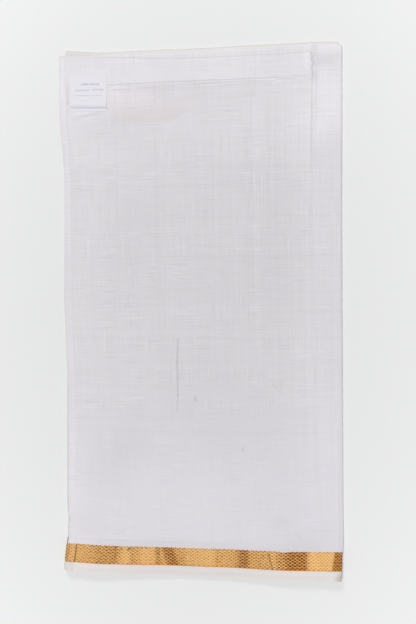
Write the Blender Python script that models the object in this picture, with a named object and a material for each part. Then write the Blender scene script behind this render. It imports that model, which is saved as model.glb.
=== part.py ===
"""A dhoti, folded flat: a loom width of white handloom cotton with a woven gold border along both long sides.

Metres, +Z up. The packet lies on Z = 0, and the middle of its bounding box is at X = Y = 0. +Y runs from the
lower edge, where the borders lie together, to the upper fold. +X runs from the hemmed end to the right fold.

Every piece is worked out on one sheet. "Across" is the distance from the left edge and "along" the distance
from the lower edge, both on the nominal rectangle, which the station tables below bend into the real outline.
"""

from collections import namedtuple

import bpy
import numpy as np

MM = 0.001

# The cut cloth and how it is folded
LOOM_WIDTH = 1.270
CUT_LENGTH = 2.000
FOLDS_ACROSS_WIDTH = 2
FOLDS_ALONG_LENGTH = 6
PACKET_LENGTH = LOOM_WIDTH / FOLDS_ACROSS_WIDTH
PACKET_WIDTH = CUT_LENGTH / FOLDS_ALONG_LENGTH
PACKET_CENTRE_X = 2.9 * MM

# Woven stripes, from the lower edge upwards
SELVEDGE_WIDTH = 11.5 * MM
BORDER_WIDTH = 22.3 * MM
BORDER_TOP = SELVEDGE_WIDTH + BORDER_WIDTH

# Heights
STACK_HEIGHT = 5.0 * MM
STRIP_DROP = 1.1 * MM
UPPER_DROP = 0.8 * MM
BAND_RISE = 0.35 * MM
WALL = 1.0 * MM
GAP = 0.3 * MM
ROLL_RADIUS = 2.0 * MM
CORNER_RADIUS = 5.0 * MM
SOFT_EDGE = 0.6 * MM
SOFT_EDGE_DROP = 0.3 * MM

# Lines on the nominal sheet that the stations place: the hem's inner side, the fold of the inner layers, the
# tuck across them, their upper end, and the shoulder where the hem stops short of the upper fold
HEM_LINE = 10.5 * MM
INNER_FOLD = 300.0 * MM
TUCK_LINE = PACKET_LENGTH - 39.7 * MM
INNER_TOP = PACKET_LENGTH - 11.0 * MM
SHOULDER = PACKET_LENGTH - 7.0 * MM
SHOULDER_STEP = 2.0 * MM
STRIP_SLOPE = 3.0 * MM
TUCK_SLOPE = 1.5 * MM
TUCK_START = (-113.0 * MM, -100.0 * MM)
COLUMNS_INSIDE = 26

# The hidden layers
LAYERS_SHOWN = 5
BULGE_START = 0.22
NOTCH_DEPTH = 0.7 * MM
UNDER_ROLL = 1.2 * MM
POKING_LAYERS = 2
STRAIGHTENED_WIDTH = 60.0 * MM
SIDE_SHARE = 0.5  # a corner point counts as on the left side from this share of its outward direction
ROLLED_SHARE = 0.05  # and as under a rolled fold from this share

# The lower edge curls up off the surface at its two ends and ripples along the border
CURL_REACH = 75.0 * MM
RIPPLE_REACH = 55.0 * MM

# The sewn label
LABEL_WIDTH = 44.6 * MM
LABEL_HEIGHT = 40.3 * MM
LABEL_CENTRE = (-136.6 * MM, 269.0 * MM)
LABEL_TURN = -0.023
LABEL_COLUMNS, LABEL_ROWS = 9, 7

Finish = namedtuple("Finish", "colour roughness metallic")
WHITE_COTTON = Finish((0.66, 0.65, 0.68, 1.0), 0.85, 0.0)
HEM_COTTON = Finish((0.74, 0.73, 0.76, 1.0), 0.85, 0.0)
LAYERED_COTTON = Finish((0.60, 0.59, 0.62, 1.0), 0.9, 0.0)
LABEL_CLOTH = Finish((0.80, 0.79, 0.86, 1.0), 0.6, 0.0)
GOLD_ZARI = Finish((0.64, 0.36, 0.12, 1.0), 0.4, 0.8)
IVORY_COTTON = Finish((0.74, 0.68, 0.66, 1.0), 0.85, 0.0)

# Millimetres. At each height on the sheet: how far the left edge stands out, the hem's width, how far the
# inner fold lies inside the nominal right edge, and how far the right edge stands out.
SideStation = namedtuple("SideStation", "y left_out hem_width inner_fold_in right_out")
SIDES = (
    SideStation(-317.5, 0.9, 10.2, 24.0, -0.7),
    SideStation(-304.0, 0.4, 10.8, 24.2, 0.0),
    SideStation(-287.0, -0.6, 11.6, 24.6, 0.6),
    SideStation(-274.0, -2.6, 10.3, 25.0, 2.3),
    SideStation(-230.0, -1.5, 11.7, 27.0, 1.8),
    SideStation(-107.0, -1.1, 10.3, 31.4, 1.2),
    SideStation(-46.0, 0.7, 10.5, 32.6, 1.0),
    SideStation(15.0, 2.8, 11.0, 34.0, 0.6),
    SideStation(137.0, 2.4, 9.4, 35.2, 0.2),
    SideStation(170.0, 2.6, 8.9, 35.4, 0.3),
    SideStation(198.0, 4.9, 10.0, 35.5, 0.4),
    SideStation(235.0, 8.1, 11.4, 35.2, 0.4),
    SideStation(309.0, 8.1, 7.8, 33.8, 0.5),
    SideStation(311.0, 1.9, 1.6, 33.8, 0.5),
    SideStation(317.5, 1.9, 1.6, 33.8, 0.5),
)

# Millimetres. At each place across: how far the upper fold stands out, how far below the nominal upper edge
# the inner top and the tuck lie, how far the lower edge stands out, and its ripple's and curl's heights.
EndStation = namedtuple("EndStation", "x upper_out inner_top_in tuck_in lower_out ripple curl")
ENDS = (
    EndStation(-164.0, -1.5, 5.5, 41.5, -1.1, 0.3, 5.0),
    EndStation(-119.0, -2.4, 7.5, 41.1, -0.6, 1.2, 5.2),
    EndStation(-97.0, -2.5, 8.5, 40.9, -0.4, 0.2, 3.8),
    EndStation(-44.0, -2.8, 11.0, 40.3, -0.5, 1.3, 0.3),
    EndStation(-27.0, -2.7, 11.6, 40.1, -0.3, 0.4, 0.0),
    EndStation(21.0, -2.3, 12.0, 39.5, -0.3, 1.4, 0.0),
    EndStation(29.0, -2.2, 11.8, 39.4, -0.4, 1.0, 0.1),
    EndStation(50.0, -1.8, 11.4, 39.1, 0.0, 1.5, 0.8),
    EndStation(62.0, -1.6, 11.3, 39.0, 0.2, 0.7, 1.6),
    EndStation(105.0, -0.8, 11.8, 38.6, 0.1, 1.7, 4.4),
    EndStation(131.0, -0.1, 10.0, 38.3, -0.5, 0.1, 6.0),
    EndStation(162.0, 0.2, 9.0, 38.0, -0.6, 1.6, 7.3),
    EndStation(170.0, -0.2, 9.0, 38.0, -0.6, 1.2, 7.5),
)

# Millimetres. How far each hidden layer's edge lies inside the outline, from the lowest layer up.
LayerInset = namedtuple("LayerInset", "left right upper lower")
LAYER_INSETS = (
    LayerInset(0.9, 0.3, 0.9, 0.3),
    LayerInset(0.2, 1.1, 0.3, 1.2),
    LayerInset(1.4, 0.4, 1.0, 0.4),
    LayerInset(0.3, 1.3, 1.3, 1.5),
    LayerInset(0.9, 1.3, 1.3, 0.7),
)


def column(table, name):
    """One column of a station table, in metres."""
    return np.array([getattr(station, name) for station in table]) * MM


def at_side(name, y):
    """A column of SIDES, read between its stations."""
    return np.interp(y, column(SIDES, "y"), column(SIDES, name))


def at_end(name, x):
    """A column of ENDS, read between its stations."""
    return np.interp(x, column(ENDS, "x"), column(ENDS, name))


def ease(low, high, value):
    """0 up to low, 1 from high on, and an S-shaped rise between them."""
    share = np.clip((value - low) / (high - low), 0.0, 1.0)
    return share * share * (3.0 - 2.0 * share)


def warp(values, knots, places):
    """Moves each knot to its place, and what lies between two knots in proportion."""
    shares = np.eye(len(knots))
    return sum(np.interp(values, knots, shares[i]) * place for i, place in enumerate(places))


def left_edge(y):
    """The packet's left edge."""
    return PACKET_CENTRE_X - PACKET_WIDTH / 2 - at_side("left_out", y)


def right_edge(y):
    """The packet's right edge, where the layers fold back."""
    return PACKET_CENTRE_X + PACKET_WIDTH / 2 + at_side("right_out", y)


def inner_fold(y):
    """The fold of the inner layers, which shows through the top layer."""
    return PACKET_CENTRE_X + PACKET_WIDTH / 2 - at_side("inner_fold_in", y)


def lower_edge(x):
    """The packet's lower edge, along the selvedges."""
    return -PACKET_LENGTH / 2 - at_end("lower_out", x)


def sheet_plan(across, along):
    """The real X and Y of points on the nominal sheet."""
    nominal_x = PACKET_CENTRE_X - PACKET_WIDTH / 2 + across
    upper = PACKET_LENGTH / 2
    low = lower_edge(nominal_x)
    y = warp(
        along,
        (0.0, BORDER_TOP, TUCK_LINE, INNER_TOP, PACKET_LENGTH),
        (
            low,
            low + BORDER_TOP,
            upper - at_end("tuck_in", nominal_x),
            upper - at_end("inner_top_in", nominal_x),
            upper + at_end("upper_out", nominal_x),
        ),
    )
    left = left_edge(y)
    x = warp(
        across,
        (0.0, HEM_LINE, INNER_FOLD, PACKET_WIDTH),
        (left, left + at_side("hem_width", y), inner_fold(y), right_edge(y)),
    )
    return x, y


def curl(x, y):
    """How high the packet's underside stands off the surface."""
    rise = 1.0 - ease(0.0, CURL_REACH, y - lower_edge(x))
    return at_end("curl", x) * rise * rise


def stack_height(x, y):
    """The packet's thickness: fewer layers right of the inner fold and above the inner top."""
    upper = PACKET_LENGTH / 2
    beyond_fold = ease(-STRIP_SLOPE, STRIP_SLOPE, x - inner_fold(y))
    beyond_top = ease(-TUCK_SLOPE, TUCK_SLOPE, y - upper + at_end("inner_top_in", x))
    beyond_tuck = ease(-TUCK_SLOPE, TUCK_SLOPE, y - upper + at_end("tuck_in", x))
    ripple = at_end("ripple", x) * (1.0 - ease(0.0, RIPPLE_REACH, y - lower_edge(x)))
    return (
        STACK_HEIGHT
        - STRIP_DROP * beyond_fold
        - UPPER_DROP * beyond_top * (1.0 - beyond_fold)
        + BAND_RISE * beyond_tuck * (1.0 - beyond_top) * (1.0 - beyond_fold) * ease(*TUCK_START, x)
        + ripple
    )


def top_height(x, y):
    """How high the upper surface of the top wall lies."""
    return curl(x, y) + stack_height(x, y)


def corner_shares(across, along):
    """How far each point reaches into the corner zones, from -1 to 1 each way, squares turned into discs."""
    reach_x = np.abs(across - PACKET_WIDTH / 2) - (PACKET_WIDTH / 2 - CORNER_RADIUS)
    reach_y = np.abs(along - PACKET_LENGTH / 2) - (PACKET_LENGTH / 2 - CORNER_RADIUS)
    p = np.clip(reach_x / CORNER_RADIUS, 0.0, 1.0)
    q = np.clip(reach_y / CORNER_RADIUS, 0.0, 1.0)
    disc_x = p * np.sqrt(1.0 - q * q / 2.0) * np.sign(across - PACKET_WIDTH / 2)
    disc_y = q * np.sqrt(1.0 - p * p / 2.0) * np.sign(along - PACKET_LENGTH / 2)
    return disc_x, disc_y


def rounded(across, along, disc_x, disc_y):
    """The nominal sheet with its corners rounded by the disc shares."""
    half_x = PACKET_WIDTH / 2 - CORNER_RADIUS
    half_y = PACKET_LENGTH / 2 - CORNER_RADIUS
    from_middle_x = np.clip(across - PACKET_WIDTH / 2, -half_x, half_x) + CORNER_RADIUS * disc_x
    from_middle_y = np.clip(along - PACKET_LENGTH / 2, -half_y, half_y) + CORNER_RADIUS * disc_y
    return PACKET_WIDTH / 2 + from_middle_x, PACKET_LENGTH / 2 + from_middle_y


def rolled_surfaces(across, along):
    """The outer and inner points of the top wall, which rolls down at the right and upper folds."""
    across, along = np.broadcast_arrays(across, along)
    disc_x, disc_y = corner_shares(across, along)
    upper_right = (across > PACKET_WIDTH / 2) & (along > PACKET_LENGTH / 2)
    new_across, new_along = rounded(across, along, disc_x, disc_y)
    across = np.where(upper_right, new_across, across)
    along = np.where(upper_right, new_along, along)
    x, y = sheet_plan(across, along)
    out_x, out_y = np.maximum(disc_x, 0.0), np.maximum(disc_y, 0.0)
    out = np.hypot(out_x, out_y)
    sine = np.clip((ROLL_RADIUS - CORNER_RADIUS * (1.0 - out)) / ROLL_RADIUS, 0.0, 1.0)
    cosine = np.sqrt(1.0 - sine * sine)
    outer = np.stack([x, y, top_height(x, y) - ROLL_RADIUS * (1.0 - cosine)], axis=-1)
    unit = np.maximum(out, 1e-9)
    normal = np.stack([sine * out_x / unit, sine * out_y / unit, cosine], axis=-1)
    return outer, outer - WALL * normal


def soften(points, sides):
    """Lowers the outermost row or column of points along the named free sides."""
    picks = {"left": np.s_[:, 0], "right": np.s_[:, -1], "lower": np.s_[0, :], "upper": np.s_[-1, :]}
    for side in sides:
        points[picks[side]] -= (0.0, 0.0, SOFT_EDGE_DROP)
    return points


def grid_faces(rows, columns, first, flip):
    """The triangles of a grid of points, all cut along one diagonal, facing up, or down where flip is set."""
    numbers = first + np.arange(rows * columns).reshape(rows, columns)
    a, b, c, d = numbers[:-1, :-1], numbers[:-1, 1:], numbers[1:, 1:], numbers[1:, :-1]
    halves = [(c, b, a), (d, c, a)] if flip else [(a, b, c), (a, c, d)]
    return np.concatenate([np.stack(half, axis=-1).reshape(-1, 3) for half in halves]).tolist()


def border_loop(rows, columns):
    """The numbers of a grid's outermost points, anticlockwise from its lower left corner."""
    numbers = np.arange(rows * columns).reshape(rows, columns)
    return np.concatenate([numbers[0, :-1], numbers[:-1, -1], numbers[-1, :0:-1], numbers[:0:-1, 0]])


def add_object(name, points, faces, finish):
    """One named object with its own Principled material."""
    mesh = bpy.data.meshes.new(name)
    mesh.from_pydata(points.tolist(), [], faces)
    mesh.shade_smooth()
    material = bpy.data.materials.new(name)
    material.use_nodes = True
    shader = material.node_tree.nodes["Principled BSDF"]
    shader.inputs["Base Color"].default_value = finish.colour
    shader.inputs["Roughness"].default_value = finish.roughness
    shader.inputs["Metallic"].default_value = finish.metallic
    mesh.materials.append(material)
    bpy.context.scene.collection.objects.link(bpy.data.objects.new(name, mesh))


def add_wall(name, outer, inner, finish):
    """A closed wall between two grids of points of the same shape."""
    rows, columns = outer.shape[:2]
    count = rows * columns
    loop = border_loop(rows, columns)
    rim = np.stack([loop, loop + count, np.roll(loop, -1) + count, np.roll(loop, -1)], axis=-1)
    faces = grid_faces(rows, columns, 0, False) + grid_faces(rows, columns, count, True) + rim.tolist()
    add_object(name, np.concatenate([outer.reshape(-1, 3), inner.reshape(-1, 3)]), faces, finish)


def roll_steps(full):
    """Places at which a sheet of this size is cut as it rolls over its far edge."""
    angles = np.radians((0.0, 30.0, 60.0, 90.0))
    return np.concatenate([[full - CORNER_RADIUS], full - ROLL_RADIUS * (1.0 - np.sin(angles))])


def panel(name, across, along, free_sides, finish):
    """A piece of the top layer between the given places on the sheet."""
    outer, inner = rolled_surfaces(across[None, :], along[:, None])
    add_wall(name, soften(outer, free_sides), inner, finish)


def selvedge_rows():
    """Places along the white selvedge strip."""
    return np.array([0.0, SOFT_EDGE, SELVEDGE_WIDTH])


def border_rows():
    """Places along the gold border."""
    return np.linspace(SELVEDGE_WIDTH + GAP, BORDER_TOP, 4)


def ground_rows():
    """Places along the ground up to its shoulder, closer where it curls, at the tuck and at the inner top."""
    lower_part = BORDER_TOP + np.array([0.3, 12.0, 26.0, 45.0, 70.0, 105.0]) * MM
    middle_part = np.linspace(190.0 * MM, TUCK_LINE - 30.0 * MM, 7)
    upper_part = np.array([
        TUCK_LINE - TUCK_SLOPE,
        TUCK_LINE + TUCK_SLOPE,
        (TUCK_LINE + INNER_TOP) / 2,
        INNER_TOP - TUCK_SLOPE,
        INNER_TOP + TUCK_SLOPE,
        SHOULDER - SHOULDER_STEP,
    ])
    return np.concatenate([lower_part, middle_part, upper_part])


def sheet_columns():
    """Places across the sheet, shared by every layer so that they stay parallel, up to the right roll."""
    even = np.linspace(HEM_LINE, INNER_FOLD - STRIP_SLOPE, COLUMNS_INSIDE)
    middle_of_strip = (INNER_FOLD + PACKET_WIDTH) / 2
    return np.concatenate([[0.0, SOFT_EDGE], even, [INNER_FOLD + STRIP_SLOPE, middle_of_strip]])


def build_top_layer():
    """The ground, the zari border and the selvedge strip, each a wall that ends just clear of the next."""
    across = np.concatenate([sheet_columns(), roll_steps(PACKET_WIDTH)])
    ground_along = np.concatenate([ground_rows(), [SHOULDER], roll_steps(PACKET_LENGTH)])
    panel("ground_panel", across, ground_along, ("left",), WHITE_COTTON)
    panel("zari_border", across, border_rows(), ("left",), GOLD_ZARI)
    panel("selvedge_strip", across, selvedge_rows(), ("left", "lower"), IVORY_COTTON)


def hem_piece(name, along, free_sides, finish):
    """A stretch of the end hem, lying on the top layer from its left edge to the hem line."""
    across = np.array([0.0, SOFT_EDGE, HEM_LINE / 2, HEM_LINE - SOFT_EDGE, HEM_LINE])
    x, y = sheet_plan(across[None, :], along[:, None])
    lower = np.stack([x, y, top_height(x, y) + GAP], axis=-1)
    outer = soften(lower + (0.0, 0.0, WALL), free_sides)
    add_wall(name, outer, lower, finish)


def build_end_hem():
    """The turned and sewn end, in three stretches as the weave changes below it."""
    sides = ("left", "right")
    hem_piece("end_hem_selvedge", selvedge_rows(), (*sides, "lower"), IVORY_COTTON)
    hem_piece("end_hem_border", border_rows(), sides, GOLD_ZARI)
    hem_piece("end_hem", ground_rows(), (*sides, "upper"), HEM_COTTON)


def build_label():
    """The small sewn label: the top layer's own points, moved out."""
    across = np.linspace(-LABEL_WIDTH / 2, LABEL_WIDTH / 2, LABEL_COLUMNS)[None, :]
    along = np.linspace(-LABEL_HEIGHT / 2, LABEL_HEIGHT / 2, LABEL_ROWS)[:, None]
    x = LABEL_CENTRE[0] + across * np.cos(LABEL_TURN) - along * np.sin(LABEL_TURN)
    y = LABEL_CENTRE[1] + across * np.sin(LABEL_TURN) + along * np.cos(LABEL_TURN)
    lower = np.stack([x, y, top_height(x, y) + GAP], axis=-1)
    outer = soften(lower + (0.0, 0.0, WALL), ("left", "right", "lower", "upper"))
    add_wall("label", outer, lower, LABEL_CLOTH)


def layer_rows():
    """The rows of points up the side of the hidden layers, each of which bulges between two notches.

    Each row is a share of the height, a layer's number and a notch's depth.
    """
    rows = [(0.0, 0, UNDER_ROLL)]
    for layer in range(LAYERS_SHOWN):
        rows.append(((layer + BULGE_START) / LAYERS_SHOWN, layer, 0.0))
        rows.append(((layer + 1.0 - BULGE_START) / LAYERS_SHOWN, layer, 0.0))
        rows.append(((layer + 1.0) / LAYERS_SHOWN, layer, NOTCH_DEPTH))
    return rows


def nested_inset(z, top):
    """How far inside the outline a point of this height lies to clear the rolled edge of the top wall."""
    clear = ROLL_RADIUS - WALL - GAP
    above = np.clip(z - (top - ROLL_RADIUS), 0.0, clear)
    inside = ROLL_RADIUS - np.sqrt(clear * clear - above * above)
    return np.where(z > top - ROLL_RADIUS - GAP, inside, 0.0)


def poking_width(y):
    """How far the layers of the end hem stand out beyond the straight edge of the layers below them."""
    return np.maximum(at_side("left_out", y) - SIDES[0].left_out * MM, 0.0)


def build_folded_layers():
    """The layers below the top one: flat underneath, bulging layer by layer at the edges."""
    near_edge = np.array([0.0, CORNER_RADIUS])
    rows_inside = np.concatenate([selvedge_rows()[2:], border_rows()[1:], ground_rows()[1:]])
    across = np.concatenate([near_edge, sheet_columns()[2:], PACKET_WIDTH - near_edge[::-1]])
    along = np.concatenate([near_edge, rows_inside, PACKET_LENGTH - near_edge[::-1]])
    across, along = np.broadcast_arrays(across[None, :], along[:, None])
    disc_x, disc_y = corner_shares(across, along)
    x, y = sheet_plan(*rounded(across, along, disc_x, disc_y))
    rows, columns = x.shape
    loop = border_loop(rows, columns)
    out = np.hypot(disc_x, disc_y).ravel()[loop]
    out_x, out_y = disc_x.ravel()[loop] / out, disc_y.ravel()[loop] / out
    edge_x, edge_y = x.ravel()[loop], y.ravel()[loop]
    base, top = curl(edge_x, edge_y), top_height(edge_x, edge_y)
    height = top - base - WALL - GAP
    poke = poking_width(edge_y)

    rings = []
    for share, layer, notch in layer_rows():
        inset = LAYER_INSETS[layer]
        depth = out_x**2 * np.where(out_x < 0, inset.left, inset.right) * MM
        depth = depth + out_y**2 * np.where(out_y < 0, inset.lower, inset.upper) * MM + notch
        if layer < LAYERS_SHOWN - POKING_LAYERS:
            depth = depth + poke * (out_x < -SIDE_SHARE)
        z = base + share * height
        rolled = (out_x > ROLLED_SHARE) | (out_y > ROLLED_SHARE)
        depth = np.where(rolled, np.maximum(depth, nested_inset(z, top)), depth)
        rings.append(np.stack([edge_x - depth * out_x, edge_y - depth * out_y, z], axis=-1))

    straightened = poking_width(y) * np.clip(1.0 - across / STRAIGHTENED_WIDTH, 0.0, 1.0)
    under = np.stack([x + straightened, y, curl(x, y)], axis=-1).reshape(-1, 3)
    over = np.stack([x, y, top_height(x, y) - WALL - GAP], axis=-1).reshape(-1, 3)
    under[loop], over[loop] = rings[0], rings[-1]
    count = rows * columns
    faces = grid_faces(rows, columns, 0, True) + grid_faces(rows, columns, count, False)
    between = 2 * count + np.arange((len(rings) - 2) * len(loop)).reshape(-1, len(loop))
    ring_numbers = [loop, *between, loop + count]
    for below, above in zip(ring_numbers, ring_numbers[1:]):
        faces += np.stack([below, np.roll(below, -1), np.roll(above, -1), above], axis=-1).tolist()
    points = np.concatenate([under, over, *rings[1:-1]])
    add_object("folded_layers", points, faces, LAYERED_COTTON)


def main():
    """Empties the scene and builds every piece."""
    for old in list(bpy.data.objects):
        bpy.data.objects.remove(old, do_unlink=True)
    build_folded_layers()
    build_top_layer()
    build_end_hem()
    build_label()


main()
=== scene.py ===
"""The looks of a dhoti folded flat: sheer white handloom cotton with a woven gold border on both long sides.

Metres, +Z up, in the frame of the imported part: the packet lies on Z = 0, +Y runs from the lower edge, where
the borders lie together, to the upper fold, and +X from the hemmed end to the right fold.

"Across" and "along" place a point on the folded packet, "level" says how high in the stack it lies, from 0 at
the floor to 1 at the top, and "s" and "t" place it on the flat cloth.
"""

import logging
from dataclasses import dataclass, field
from enum import Enum
from math import atan2, cos, hypot, pi, radians, sin
from typing import Iterable, NamedTuple, Optional, Sequence, Union

import bpy
import numpy as np
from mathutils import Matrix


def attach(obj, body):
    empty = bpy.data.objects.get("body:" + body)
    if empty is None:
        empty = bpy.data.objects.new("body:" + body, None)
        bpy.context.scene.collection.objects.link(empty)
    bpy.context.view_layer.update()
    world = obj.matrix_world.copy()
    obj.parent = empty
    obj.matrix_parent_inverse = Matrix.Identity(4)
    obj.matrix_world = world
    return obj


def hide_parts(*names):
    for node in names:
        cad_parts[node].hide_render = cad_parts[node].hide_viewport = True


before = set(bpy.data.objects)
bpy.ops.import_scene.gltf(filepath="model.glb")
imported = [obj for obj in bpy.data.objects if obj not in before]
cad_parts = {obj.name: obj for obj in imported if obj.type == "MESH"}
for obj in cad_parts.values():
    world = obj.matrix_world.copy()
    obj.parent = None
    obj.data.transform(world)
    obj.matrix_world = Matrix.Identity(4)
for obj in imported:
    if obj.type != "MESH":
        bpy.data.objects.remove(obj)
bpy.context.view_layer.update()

log = logging.getLogger("dhoti")

MM = 0.001
BODY = "root"
CLOTH_THICKNESS = 0.24 * MM
SEAM_GAP = 0.03 * MM
ORIGIN = (0, 0, 0)

Array = np.ndarray
Number = Union[Array, float]
Colour = tuple[float, float, float, float]
Piece = bpy.types.Object
Material = bpy.types.Material
Socket = bpy.types.NodeSocket
Node = bpy.types.Node
Wire = Union[Socket, float, tuple]


# ---- Small formulas


def ease(low: float, high: float, value: Array) -> Array:
    """0 up to low, 1 from high on, and an S-shaped rise between them.

    Args:
        low: Where the rise starts.
        high: Where it ends.
        value: The places to read.

    Returns:
        The share at each place.
    """
    share = np.clip((value - low) / (high - low), 0, 1)
    return share * share * (3 - 2 * share)


def ridge(distance: Array, width: float) -> Array:
    """A bell of height 1 that falls away with distance; width is where it has fallen to about a third."""
    return np.exp(-((distance / width) ** 2))


def warp(values: Array, knots: Sequence[float], places: Sequence) -> Array:
    """Moves each knot to its place, and what lies between two knots in proportion.

    Args:
        values: The values to move.
        knots: Increasing values.
        places: For each knot, where it goes: a number, or an array like values.

    Returns:
        The moved values.
    """
    shares = np.eye(len(knots))
    return sum(np.interp(values, knots, shares[i]) * place for i, place in enumerate(places))


def stacked(*parts: Number) -> Array:
    """Vectors from their parts, each a number or an array."""
    return np.stack(np.broadcast_arrays(*parts), axis=-1)


def rows_of(kind: type, *rows: tuple) -> tuple:
    """A table whose rows have named columns."""
    return tuple(kind(*row) for row in rows)


def reading(rows: Sequence[Sequence[float]], place: Array) -> Array:
    """A table's second column, read in straight lines along its first."""
    return np.interp(place, *np.transpose(rows))


def graded(low: float, high: float, step: float, *closer: tuple[float, float, float]) -> Array:
    """Places from low to high, a step apart, and closer together around some lines.

    Args:
        low: The first place.
        high: The last place.
        step: The usual distance between two.
        closer: Each line's place, how far either side it reaches and the distance there.

    Returns:
        Increasing places, none closer than half the least distance.
    """
    parts = [np.linspace(low, high, max(2, round((high - low) / step) + 1))]
    least = step
    for middle, reach, fine in closer:
        parts[0] = parts[0][np.abs(parts[0] - middle) > reach]
        parts.append(np.clip(np.arange(middle - reach, middle + reach + fine / 2, fine), low, high))
        least = min(least, fine)
    places = np.unique(np.concatenate([[low], *parts, [high]]))
    far = np.concatenate([[True], np.diff(places) > least / 2])
    places = places[far]
    places[-1] = high
    return places


def colour(red: float, green: float, blue: float) -> Colour:
    """A display colour, from 0 to 255 for each of its parts, as linear light with full alpha."""
    parts = np.array([red, green, blue]) / 255
    linear = np.where(parts <= 0.04045, parts / 12.92, ((parts + 0.055) / 1.055) ** 2.4)
    return (*(float(part) for part in linear), 1)


# ---- The packet's sizes and forms


class SideStation(NamedTuple):
    """Millimetres, at one height on the sheet."""

    y: float
    left_out: float
    hem_width: float
    inner_fold_in: float
    right_out: float


class EndStation(NamedTuple):
    """Millimetres, at one place across the sheet.

    Leaf_in is how far the top leaf's upper fold lies inside, and layers_out how far those below stand out.
    """

    x: float
    upper_out: float
    inner_top_in: float
    tuck_in: float
    lower_out: float
    ripple: float
    curl: float
    leaf_in: float
    layers_out: float


SIDES = rows_of(
    SideStation,
    (-317.5, 0, 10.2, 24, -0.7), (-304, -0.6, 10.8, 24.2, 0), (-287, -1.8, 11.6, 24.6, 0.6),
    (-274, -4, 10.3, 25, 2.3), (-230, -2.9, 11.7, 27, 1.8), (-107, -2.6, 10.3, 31.4, 1.2),
    (-46, -0.4, 10.5, 32.6, 1), (15, 2, 11, 34, 0.6), (137, 1.6, 9.4, 35.2, 0.2),
    (170, 2, 8.9, 35.4, 0.3), (198, 4.6, 10, 35.5, 0.4), (235, 8.2, 11.4, 35.2, 0.4),
    (313, 8.9, 8.6, 33.8, 0.5), (313.5, 1.9, 1.6, 33.8, 0.5), (317.5, 1.9, 1.6, 33.8, 0.5),
)

ENDS = rows_of(
    EndStation,
    (-164, -1.5, 5.5, 41.5, -2.2, 0.3, 5, 6.7, 5.3), (-134, -2.1, 6.8, 41.2, -1.1, 0.9, 5.2, 5.9, 3),
    (-119, -2.4, 7.5, 41.1, -0.6, 1.2, 5.2, 4, 1.9), (-97, -2.5, 8.5, 40.9, -0.4, 0.2, 3.8, 1.8, 1.8),
    (-44, -2.8, 11, 39.9, -0.5, 0.8, 0.3, 0.5, 2.9), (-27, -2.7, 11.6, 39.6, -0.3, 0.1, 0, 0.4, 2.8),
    (21, -2.2, 12, 38.9, -0.3, 0.9, 0, 0.2, 2.7), (29, -2, 11.8, 38.9, -0.4, 0.6, 0.1, 0, 2.8),
    (50, -1.4, 11.4, 38.7, 0, 1, 0.8, -0.2, 3), (62, -1.3, 11.3, 38.7, 0.2, 0.7, 1.6, -0.1, 3),
    (105, -0.6, 10.6, 38.2, 0, 1.7, 4.4, -0.5, 3), (131, -0.1, 9.4, 37.6, -0.8, 0.1, 6, -0.9, 3),
    (162, 0.2, 9, 38, -1.3, 1.6, 7.3, -0.8, 2.6), (170, -0.2, 9, 38, -1.4, 1.2, 7.5, 0, 1.6),
)


class Crease(NamedTuple):
    """A pressed line on the top layer, in millimetres: its ends, how high it stands and how wide it is.

    Shade is painted shade (below 0, painted highlight) along its bottom, over line_width either side.
    """

    x1: float
    y1: float
    x2: float
    y2: float
    height: float
    width: float
    shade: float
    line_width: float


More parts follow.
